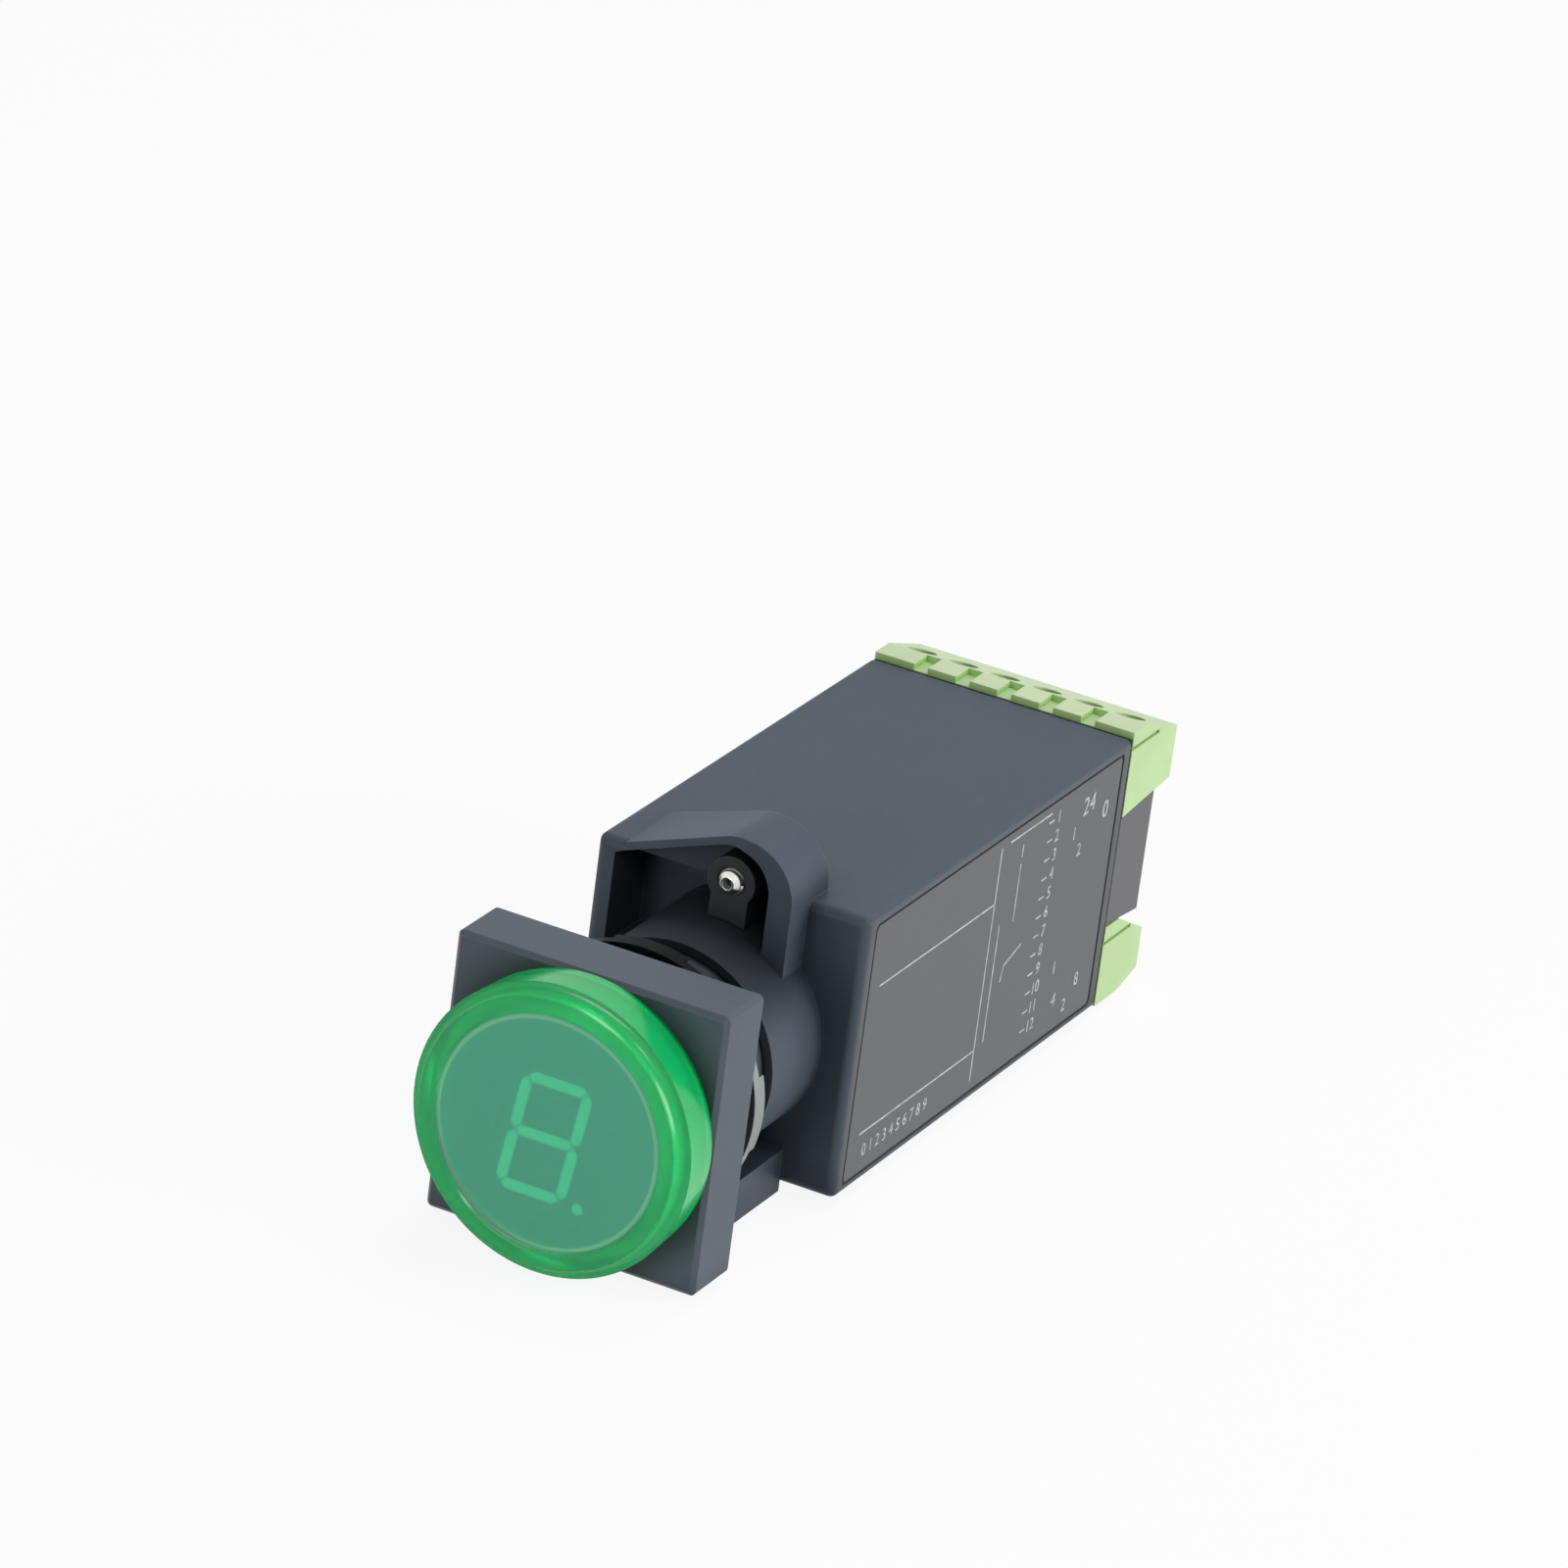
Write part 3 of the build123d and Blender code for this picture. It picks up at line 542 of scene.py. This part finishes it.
@dataclass(frozen=True)
class LabelFilm:
    """Dark film of the label, with a faint cloud and a slight orange peel."""

    name: str
    film: Colour

    def make(self) -> bpy.types.Material:
        """Builds the material."""
        paint = Paint(self.name, IOR=1.5, Specular_IOR_Level=0.4)
        cloud = paint.noise(mm(7), 3)
        return paint.surface(
            Base_Color=paint.mix(cloud, scaled(self.film, 0.9), scaled(self.film, 1.1)),
            Roughness=0.42 + 0.15 * cloud,
            Normal=paint.relief(paint.noise(mm(0.3), 2), mm(0.006)),
        ).material


@dataclass(frozen=True)
class Ink:
    """Pale print of the label, thinned by wear in places."""

    name: str
    ink: Colour
    film: Colour

    def make(self) -> bpy.types.Material:
        """Builds the material."""
        paint = Paint(self.name, IOR=1.5, Specular_IOR_Level=0.3)
        thin = (paint.noise(mm(1), 4) * 1.5 - 0.45).least(1.0).most(0.0)
        return paint.surface(
            Base_Color=paint.mix(thin, self.ink, self.film),
            Roughness=0.5 + 0.2 * thin,
        ).material


class Finish(Enum):
    """The finishes of the display's pieces."""

    SLATE = MouldedPlastic(
        "slate_plastic",
        (0.062, 0.080, 0.104),
        (0.150, 0.170, 0.195),
        (0.012, 0.015, 0.019),
        # painted shadow on the barrel's top
        soiled_radius=mm(12.25),
    )
    HOUSING = MouldedPlastic(
        "housing_plastic",
        (0.060, 0.078, 0.102),
        # worn edges, raised as a painted highlight on the housing's rims
        (0.190, 0.210, 0.235),
        (0.012, 0.015, 0.019),
        shine=0.18,
        # painted shade reaches far into the pocket under the hood
        reach=mm(6),
        sunk_share=0.45,
        # painted shadow on the collar's top under the hood
        soiled_radius=mm(12.25),
        rubbed_from=mm(15.6),
    )
    BLACK = MouldedPlastic(
        "black_plastic", (0.022, 0.024, 0.027), (0.060, 0.065, 0.070), (0.008, 0.009, 0.010), 0.5
    )
    COVER = MouldedPlastic(
        "cover_plastic", (0.112, 0.112, 0.120), (0.17, 0.175, 0.185), (0.012, 0.012, 0.014), 0.5
    )
    GREEN = MouldedPlastic(
        "green_plastic",
        (0.46, 0.64, 0.33),
        (0.66, 0.80, 0.54),
        (0.30, 0.58, 0.09),
        0.45,
        reach=mm(1),
        sunk_share=0.5,
        # painted light on the terminals' tops
        dust_share=0.7,
    )
    FACE = MouldedPlastic(
        "face_plastic", (0.27, 0.40, 0.34), (0.30, 0.44, 0.38), (0.19, 0.32, 0.27), 0.5
    )
    SEGMENT = SegmentResin("segment_resin", (0.30, 1.0, 0.62), (0.05, 0.40, 0.22), 0.4)
    LENS = TintedLens(
        "green_lens", (0.14, 0.72, 0.51), (0.0, 0.84, 0.24), (0.42, 1.0, 0.62), mm(12.6)
    )
    SEAL = Rubber("seal_rubber", (0.014, 0.016, 0.018))
    # painted shade over the top of the ring
    RING = Metal("plated_ring", (0.31, 0.34, 0.34), 0.36, reach=mm(2), blackened=mm(7.5))
    STEEL = Metal("plated_steel", (0.86, 0.85, 0.82), 0.17)
    TIN = Metal("tinned_pin", (0.75, 0.74, 0.7), 0.3)
    BOARD = Laminate("board_laminate")
    CAN = MouldedPlastic(
        "can_sleeve", (0.02, 0.03, 0.12), (0.1, 0.12, 0.25), (0.01, 0.01, 0.04), 0.35
    )
    SAND = MouldedPlastic(
        "resistor_body", (0.55, 0.42, 0.26), (0.65, 0.52, 0.36), (0.2, 0.15, 0.1), 0.45
    )
    LABEL = LabelFilm("label_film", (0.088, 0.092, 0.103))
    INK = Ink("label_ink", (0.60, 0.61, 0.63), (0.17, 0.172, 0.18))


class Finisher:
    """Gives each piece its finish, and makes each material once."""

    def __init__(self, nodes: dict[str, bpy.types.Object]) -> None:
        """Keeps the frame's nodes by name."""
        self.nodes = nodes
        self.made: dict[Finish, bpy.types.Material] = {}

    def material(self, finish: Finish) -> bpy.types.Material:
        """The material of a finish."""
        if finish not in self.made:
            self.made[finish] = finish.value.make()
        return self.made[finish]

    def dress(self, piece: bpy.types.Object, finish: Finish) -> None:
        """Puts a finish all over a piece."""
        piece.data.materials.clear()
        piece.data.materials.append(self.material(finish))
        log.info("%s: %s", piece.name, finish.value.name)

    def dress_nodes(self, finish: Finish, *names: str) -> None:
        """Puts a finish on the named nodes of the frame."""
        for name in names:
            self.dress(self.nodes[name], finish)


@dataclass
class FrontElement:
    """Bezel, lens cap, digit and the seals and ring behind the bezel."""

    finisher: Finisher
    segments: str = "abcdefg"

    def dress(self) -> None:
        """Gives the nodes of the front their finishes."""
        self.finisher.dress_nodes(Finish.SLATE, "bezel")
        self.finisher.dress_nodes(Finish.LENS, "lens_cap")
        self.finisher.dress_nodes(Finish.FACE, "faceplate", "reflector")
        bars = ("segment_" + letter for letter in self.segments)
        self.finisher.dress_nodes(Finish.SEGMENT, "decimal_point", *bars)
        self.finisher.dress_nodes(Finish.SEAL, "lens_seal", "panel_seal")
        self.finisher.dress_nodes(Finish.RING, "thrust_ring")
        self.finisher.dress_nodes(Finish.BOARD, "display_board")
        self.finisher.dress_nodes(Finish.TIN, "display_pins")


@dataclass
class Body:
    """Housing with its clamp and label, and what it holds inside."""

    finisher: Finisher

    def dress(self) -> None:
        """Gives the nodes of the body their finishes."""
        self.finisher.dress_nodes(Finish.HOUSING, "housing")
        self.finisher.dress_nodes(Finish.BLACK, "clamp_block", "link_header")
        self.finisher.dress_nodes(Finish.BLACK, "driver_chip", "regulator")
        self.finisher.dress_nodes(Finish.BOARD, "main_board", "terminal_board")
        self.finisher.dress_nodes(Finish.CAN, "capacitor")
        self.finisher.dress_nodes(Finish.SAND, "resistor_row")
        self.finisher.dress_nodes(Finish.STEEL, "fixing_screw")
        self.finisher.dress_nodes(Finish.LABEL, "side_label")


@dataclass
class RearTerminals:
    """Rear cover and the two rows of pluggable terminals."""

    finisher: Finisher
    rows: tuple[str, ...] = ("upper", "lower")

    def dress(self) -> None:
        """Gives the nodes of the rear their finishes."""
        self.finisher.dress_nodes(Finish.COVER, "rear_cover")
        for row in self.rows:
            self.finisher.dress_nodes(Finish.GREEN, row + "_plug", row + "_header")
            self.finisher.dress_nodes(Finish.TIN, row + "_pins")
            self.finisher.dress_nodes(Finish.STEEL, row + "_cages", row + "_screws")


class Bench:
    """Modelling steps shared by the new pieces."""

    @staticmethod
    def alone(piece: bpy.types.Object) -> None:
        """Makes the piece the only one selected, and the active one."""
        bpy.ops.object.select_all(action="DESELECT")
        piece.select_set(True)
        bpy.context.view_layer.objects.active = piece

    @staticmethod
    def settle(piece: bpy.types.Object) -> None:
        """Moves the piece's place, turn and scale into its mesh."""
        Bench.alone(piece)
        bpy.ops.object.transform_apply(location=True, rotation=True, scale=True)

    @staticmethod
    def block(low: Vector, high: Vector) -> bpy.types.Object:
        """Makes a box.

        Args:
            low: Its lowest corner.
            high: Its highest corner.

        Returns:
            The box.
        """
        bpy.ops.object.select_all(action="DESELECT")
        bpy.ops.mesh.primitive_cube_add(size=1.0, location=(low + high) / 2)
        block = bpy.context.object
        block.scale = high - low
        Bench.settle(block)
        return block

    @staticmethod
    def join(name: str, pieces: list[bpy.types.Object]) -> bpy.types.Object:
        """Joins pieces into one.

        Args:
            name: Name of the whole.
            pieces: The pieces to join.

        Returns:
            The joined piece.
        """
        Bench.alone(pieces[0])
        for piece in pieces[1:]:
            piece.select_set(True)
        bpy.ops.object.join()
        whole = bpy.context.object
        whole.name = name
        whole.data.name = name
        return whole

    @staticmethod
    def pick_faces(
        piece: bpy.types.Object, wanted: Callable[[bpy.types.MeshPolygon], bool]
    ) -> None:
        """Selects the wanted faces and enters edit mode on them."""
        Bench.alone(piece)
        for group in (piece.data.vertices, piece.data.edges):
            for part in group:
                part.select = False
        for face in piece.data.polygons:
            face.select = wanted(face)
        bpy.ops.object.mode_set(mode="EDIT")
        bpy.ops.mesh.select_mode(type="FACE")

    @staticmethod
    def finish_edit() -> None:
        """Merges doubles, turns all normals outwards and leaves edit mode."""
        bpy.ops.mesh.select_all(action="SELECT")
        bpy.ops.mesh.remove_doubles(threshold=mm(0.001))
        bpy.ops.mesh.normals_make_consistent(inside=False)
        bpy.ops.object.mode_set(mode="OBJECT")

    @staticmethod
    def apply(piece: bpy.types.Object, kind: str, **settings: object) -> None:
        """Adds a modifier with the given settings and applies it."""
        Bench.alone(piece)
        modifier = piece.modifiers.new(kind.lower(), kind)
        for name, value in settings.items():
            setattr(modifier, name, value)
        bpy.ops.object.modifier_apply(modifier=modifier.name)


@dataclass(frozen=True)
class Rule:
    """Thin printed line between two places on the label, each as (Y, Z)."""

    start: tuple[float, float]
    end: tuple[float, float]


@dataclass(frozen=True)
class Number:
    """Plain number printed on the label, centred at the given place."""

    digits: str
    y: float
    z: float
    height: float


@dataclass
class SideLabel:
    """Film label in the recess of the housing's right side, with rules and terminal numbers."""

    finisher: Finisher
    outside: float = mm(15.67)
    thickness: float = mm(0.17)
    front: float = mm(24.5)
    rear: float = mm(81.8)
    half_height: float = mm(14.4)
    corner: float = mm(0.6)
    print_height: float = mm(0.02)
    rule_width: float = mm(0.2)
    capital_share: float = 0.7
    pole_column: float = mm(67.0)
    pole_top: float = mm(12.4)
    pole_step: float = mm(2.2)
    poles: int = 12
    tick: float = mm(1.2)
    scale_front: float = mm(28.5)
    scale_step: float = mm(1.55)
    scale_z: float = mm(-12.1)
    number_height: float = mm(1.4)
    rules: tuple[Rule, ...] = (
        Rule((mm(26.9), mm(7.0)), (mm(53.2), mm(7.0))),
        Rule((mm(53.2), mm(-13.4)), (mm(53.2), mm(13.4))),
        Rule((mm(26.9), mm(-9.8)), (mm(53.2), mm(-9.8))),
        Rule((mm(55.2), mm(13.4)), (mm(65.0), mm(13.4))),
        Rule((mm(55.2), mm(4.0)), (mm(55.2), mm(-9.5))),
        Rule((mm(58.6), mm(9.8)), (mm(58.6), mm(3.2))),
        Rule((mm(57.4), mm(-3.4)), (mm(57.8), mm(-1.6))),
        Rule((mm(57.8), mm(-1.6)), (mm(61.6), mm(-0.4))),
    )
    numbers: tuple[Number, ...] = (
        Number("24", mm(74.6), mm(11.2), mm(2.1)),
        Number("0", mm(79.0), mm(9.2), mm(2.0)),
        Number("1", mm(71.6), mm(8.8), mm(1.5)),
        Number("2", mm(73.4), mm(6.4), mm(1.5)),
        Number("1", mm(58.6), mm(11.2), mm(1.5)),
        Number("1", mm(71.4), mm(-6.7), mm(1.5)),
        Number("8", mm(77.8), mm(-10.2), mm(1.5)),
        Number("4", mm(72.4), mm(-10.8), mm(1.5)),
        Number("2", mm(75.3), mm(-12.4), mm(1.5)),
    )

    def film(self) -> bpy.types.Object:
        """Makes the film, with rounded corners."""
        low = Vector((self.outside - self.thickness, self.front, -self.half_height))
        high = Vector((self.outside, self.rear, self.half_height))
        film = Bench.block(low, high)
        bpy.ops.object.mode_set(mode="EDIT")
        bpy.ops.mesh.select_all(action="DESELECT")
        bpy.ops.mesh.select_mode(type="EDGE")
        bpy.ops.object.mode_set(mode="OBJECT")
        for edge in film.data.edges:
            ends = [film.data.vertices[v].co for v in edge.vertices]
            edge.select = abs(ends[0].x - ends[1].x) > self.thickness / 2
        bpy.ops.object.mode_set(mode="EDIT")
        bpy.ops.mesh.bevel(offset=self.corner, segments=4, affect="EDGES")
        Bench.finish_edit()
        self.finisher.dress(film, Finish.LABEL)
        return film

    def line(self, rule: Rule) -> bpy.types.Object:
        """Makes one printed line."""
        run = Vector((0.0, rule.end[0] - rule.start[0], rule.end[1] - rule.start[1]))
        half = Vector((self.print_height, run.length, self.rule_width)) / 2
        line = Bench.block(-half, half)
        line.rotation_euler.x = math.atan2(run.z, run.y)
        middle = (Vector((0.0, *rule.start)) + Vector((0.0, *rule.end))) / 2
        line.location = Vector((self.outside, 0.0, 0.0)) + middle
        Bench.settle(line)
        self.finisher.dress(line, Finish.INK)
        return line

    def number(self, number: Number) -> bpy.types.Object:
        """Makes one printed number, which reads along the housing."""
        bpy.ops.object.select_all(action="DESELECT")
        bpy.ops.object.text_add()
        text = bpy.context.object
        text.data.body = number.digits
        text.data.size = number.height / self.capital_share
        text.data.extrude = self.print_height / 2
        text.data.resolution_u = 3
        text.data.align_x = "CENTER"
        text.data.align_y = "CENTER"
        bpy.ops.object.convert(target="MESH")
        text = bpy.context.object
        text.rotation_euler = (math.pi / 2, 0.0, math.pi / 2)
        text.location = (self.outside, number.y, number.z)
        Bench.settle(text)
        self.finisher.dress(text, Finish.INK)
        return text

    def build(self) -> bpy.types.Object:
        """Makes the label in place of its plain solid.

        Returns:
            The label.
        """
        pieces = [self.film()]
        pieces += [self.line(rule) for rule in self.rules]
        pieces += [self.number(number) for number in self.numbers]
        for i in range(self.poles):
            z = self.pole_top - i * self.pole_step
            start = self.pole_column - 2 * self.tick
            pieces.append(self.number(Number(str(i + 1), self.pole_column, z, self.number_height)))
            pieces.append(self.line(Rule((start, z), (start + self.tick, z))))
        for digit in range(10):
            y = self.scale_front + digit * self.scale_step
            pieces.append(self.number(Number(str(digit), y, self.scale_z, self.number_height)))
        label = Bench.join("printed_label", pieces)
        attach(label, "root")
        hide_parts("side_label")
        return label


@dataclass
class FixingScrew:
    """Grub screw of the clamp, with a rolled thread, a cup point in front and a slot behind."""

    finisher: Finisher
    x: float = mm(1.1)
    z: float = mm(16.5)
    tip: float = mm(18.7)
    length: float = mm(7.2)
    radius: float = mm(1.5)
    root_radius: float = mm(1.24)
    pitch: float = mm(0.5)
    flank: float = 0.8
    overlap: float = 1.1
    point: float = mm(0.55)
    point_share: float = 0.62
    cup_radius: float = mm(0.55)
    cup_depth: float = mm(1.1)
    cup_share: float = 0.6
    slot_width: float = mm(0.6)
    slot_depth: float = mm(0.9)
    sides: int = 40

    def core(self) -> bpy.types.Object:
        """Makes the core with its cup point and slot."""
        run = self.length - self.point
        front = self.tip + self.point
        bpy.ops.object.select_all(action="DESELECT")
        bpy.ops.mesh.primitive_cylinder_add(
            vertices=self.sides,
            radius=self.root_radius,
            depth=run,
            location=(0.0, front + run / 2, 0.0),
            rotation=(math.pi / 2, 0.0, 0.0),
        )
        core = bpy.context.object
        Bench.settle(core)
        Bench.pick_faces(core, lambda face: face.center.y < front + mm(0.01))
        point_radius = self.root_radius * self.point_share
        move = {"value": (0.0, -self.point, 0.0)}
        bpy.ops.mesh.extrude_region_move(TRANSFORM_OT_translate=move)
        size = (self.point_share, 1.0, self.point_share)
        bpy.ops.transform.resize(value=size, center_override=(0.0, self.tip, 0.0))
        bpy.ops.mesh.inset(thickness=point_radius - self.cup_radius)
        move = {"value": (0.0, self.cup_depth, 0.0)}
        bpy.ops.mesh.extrude_region_move(TRANSFORM_OT_translate=move)
        size = (self.cup_share, 1.0, self.cup_share)
        centre = (0.0, self.tip + self.cup_depth, 0.0)
        bpy.ops.transform.resize(value=size, center_override=centre)
        Bench.finish_edit()
        end = self.tip + self.length
        low = Vector((-self.radius, end - self.slot_depth, -self.slot_width / 2))
        slot = Bench.block(low, Vector((self.radius, end + self.slot_depth, self.slot_width / 2)))
        Bench.apply(core, "BOOLEAN", operation="DIFFERENCE", object=slot, solver="EXACT")
        bpy.data.objects.remove(slot)
        return core

    def thread(self) -> bpy.types.Object:
        """Makes the thread, a three-sided bar wound about the core.

        The bar starts as a three-sided circle of radius 1, which is 1.5 by the root of 3.
        """
        width = (self.radius - self.root_radius) * self.overlap
        start = self.tip + self.point + self.pitch / 2
        turns = int((self.length - self.point - self.slot_depth - self.pitch) / self.pitch)
        bpy.ops.object.select_all(action="DESELECT")
        turn = (0.0, 0.0, -math.pi / 2)
        bpy.ops.mesh.primitive_circle_add(vertices=3, radius=1.0, rotation=turn)
        bar = bpy.context.object
        Bench.settle(bar)
        bar.scale = (width / 1.5, self.pitch * self.flank / math.sqrt(3.0), 1.0)
        bar.location = (self.radius - width / 1.5, start, 0.0)
        Bench.settle(bar)
        Bench.apply(
            bar,
            "SCREW",
            axis="Y",
            screw_offset=self.pitch,
            iterations=turns,
            steps=self.sides,
            render_steps=self.sides,
            use_merge_vertices=False,
            use_smooth_shade=False,
        )
        Bench.pick_faces(bar, lambda face: True)
        bpy.ops.mesh.select_all(action="SELECT")
        bpy.ops.mesh.fill_holes(sides=3)
        Bench.finish_edit()
        return bar

    def build(self) -> bpy.types.Object:
        """Makes the screw in place of its plain solid.

        Returns:
            The screw.
        """
        screw = Bench.join("threaded_screw", [self.core(), self.thread()])
        screw.location = (self.x, 0.0, self.z)
        Bench.settle(screw)
        bpy.ops.object.shade_smooth_by_angle(angle=math.radians(35))
        self.finisher.dress(screw, Finish.STEEL)
        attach(screw, "root")
        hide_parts("fixing_screw")
        return screw


@dataclass
class RearSeal:
    """Black frame that fills the gap between the housing and the rear terminals."""

    finisher: Finisher
    front: float = mm(83.4)
    rear: float = mm(84.4)
    outer: float = mm(15.4)
    inner: float = mm(14.42)

    def build(self) -> bpy.types.Object:
        """Makes the frame round the flange of the rear cover.

        Returns:
            The frame.
        """
        frame = Bench.block(
            Vector((-self.outer, self.front, -self.outer)),
            Vector((self.outer, self.rear, self.outer)),
        )
        reach = self.rear - self.front
        core = Bench.block(
            Vector((-self.inner, self.front - reach, -self.inner)),
            Vector((self.inner, self.rear + reach, self.inner)),
        )
        Bench.apply(frame, "BOOLEAN", operation="DIFFERENCE", object=core, solver="EXACT")
        bpy.data.objects.remove(core)
        frame.name = "rear_seal"
        self.finisher.dress(frame, Finish.SEAL)
        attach(frame, "root")
        return frame


@dataclass
class Lamp:
    """One soft lamp that faces the object."""

    name: str
    at: Vector
    size: float
    power: float
    colour: Colour = (1.0, 1.0, 1.0)

    def make(self, target: Vector) -> None:
        """Adds the lamp, turned towards the target."""
        bpy.ops.object.light_add(type="AREA", location=target + self.at)
        lamp = bpy.context.object
        lamp.name = self.name
        lamp.data.shape = "DISK"
        lamp.data.size = self.size
        lamp.data.energy = self.power
        lamp.data.color = self.colour
        lamp.rotation_euler = (-self.at).to_track_quat("-Z", "Y").to_euler()


@dataclass
class Studio:
    """Camera, lamps, pale floor and world."""

    camera_at: Vector = field(default_factory=lambda: mm(379.492, -799.2, 416.861))
    right: Colour = (0.87984497, 0.45947704, 0.12146476)
    down: Colour = (0.28339415, -0.30205323, -0.91019317)
    forward: Colour = (-0.38152403, 0.83525128, -0.39597312)
    lens: float = 225.0
    sensor: float = 36.0
    floor_gap: float = 0.0001
    floor_half: float = 3.0
    floor_glow: float = 0.9
    floor_tones: tuple[Colour, Colour] = ((0.86, 0.86, 0.86), (0.9, 0.9, 0.9))
    air: Colour = (0.17, 0.17, 0.175)
    near: float = 0.05
    target: Vector = field(default_factory=lambda: mm(0, 40, 0))
    lamps: list[Lamp] = field(
        default_factory=lambda: [
            Lamp("right_softbox", Vector((0.75, 0.12, 0.25)), 0.5, 4.4, (1.0, 0.97, 0.96)),
            Lamp("overhead_softbox", Vector((0.05, 0.3, 0.8)), 0.5, 3.0, (0.97, 0.99, 1.0)),
            Lamp("front_fill", Vector((-0.2, -0.9, 0.25)), 0.35, 2.0),
            Lamp("corner_lamp", Vector((0.42, -0.64, 0.6)), 0.2, 0.9),
        ]
    )

    def camera(self) -> None:
        """Adds the camera at the angle of the photograph."""
        bpy.ops.object.camera_add()
        camera = bpy.context.object
        camera.name = "camera"
        rows = (self.right, [-c for c in self.down], [-c for c in self.forward])
        axes = Matrix(rows).transposed().to_4x4()
        camera.matrix_world = Matrix.Translation(self.camera_at) @ axes
        camera.data.lens = self.lens
        camera.data.sensor_width = self.sensor
        camera.data.clip_start = self.near
        bpy.context.scene.camera = camera

    def floor(self, height: float) -> None:
        """Adds the pale floor just below the object.

        Args:
            height: Height of the lowest point of the object.
        """
        below = (0, 0, height - self.floor_gap)
        bpy.ops.mesh.primitive_plane_add(size=2 * self.floor_half, location=below)
        floor = bpy.context.object
        floor.name = "floor"
        paint = Paint("pale_floor", Specular_IOR_Level=0.1)
        tone = paint.mix(paint.noise(0.4, 2), *self.floor_tones)
        paint.surface(Base_Color=tone, Roughness=0.8)
        seen = paint.node("ShaderNodeLightPath").outputs
        shown = Reading(paint, seen["Is Camera Ray"]).most(Reading(paint, seen["Is Glossy Ray"]))
        shown = shown.most(Reading(paint, seen["Is Transmission Ray"]))
        glow = paint.node("ShaderNodeEmission", {}, {"Color": (1, 1, 1, 1), "Strength": 1.0})
        inputs = {0: shown * self.floor_glow, 1: paint.shader.outputs[0], 2: glow.outputs[0]}
        joined = paint.node("ShaderNodeMixShader", {}, inputs)
        paint.tree.links.new(joined.outputs[0], paint.output.inputs["Surface"])
        floor.data.materials.append(paint.material)
        floor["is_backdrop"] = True

    def world(self) -> None:
        """Sets a grey world that camera, glossy and transmission rays see as white."""
        world = bpy.data.worlds.new("studio_air")
        bpy.context.scene.world = world
        world.use_nodes = True
        tree = world.node_tree
        path = tree.nodes.new("ShaderNodeLightPath")
        air = tree.nodes["Background"]
        total: Union[bpy.types.NodeSocket, None] = None
        for name in ("Is Camera Ray", "Is Glossy Ray", "Is Transmission Ray"):
            if total is None:
                total = path.outputs[name]
                continue
            join = tree.nodes.new("ShaderNodeMath")
            join.operation = "MAXIMUM"
            tree.links.new(total, join.inputs[0])
            tree.links.new(path.outputs[name], join.inputs[1])
            total = join.outputs[0]
        mix = tree.nodes.new("ShaderNodeMix")
        mix.data_type = "RGBA"
        mix.inputs[6].default_value = (*self.air, 1)
        mix.inputs[7].default_value = (1, 1, 1, 1)
        tree.links.new(total, mix.inputs[0])
        tree.links.new(mix.outputs[2], air.inputs["Color"])
        air.inputs["Strength"].default_value = 1.0

    def build(self, height: float) -> None:
        """Sets up the whole studio.

        Args:
            height: Height of the lowest point of the object.
        """
        self.camera()
        self.floor(height)
        self.world()
        for lamp in self.lamps:
            lamp.make(self.target)
        bpy.context.scene.view_settings.view_transform = "Standard"


def main() -> None:
    """Loads the frame, dresses it and sets up the studio."""
    logging.basicConfig(level=logging.INFO, format="%(message)s")
    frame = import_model()
    cad_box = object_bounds()
    bpy.ops.object.select_all(action="DESELECT")
    finisher = Finisher(frame["nodes"])
    FrontElement(finisher).dress()
    Body(finisher).dress()
    RearTerminals(finisher).dress()
    SideLabel(finisher).build()
    FixingScrew(finisher).build()
    RearSeal(finisher).build()
    Studio().build(cad_box[0].z)


if __name__ == "__main__":
    main()
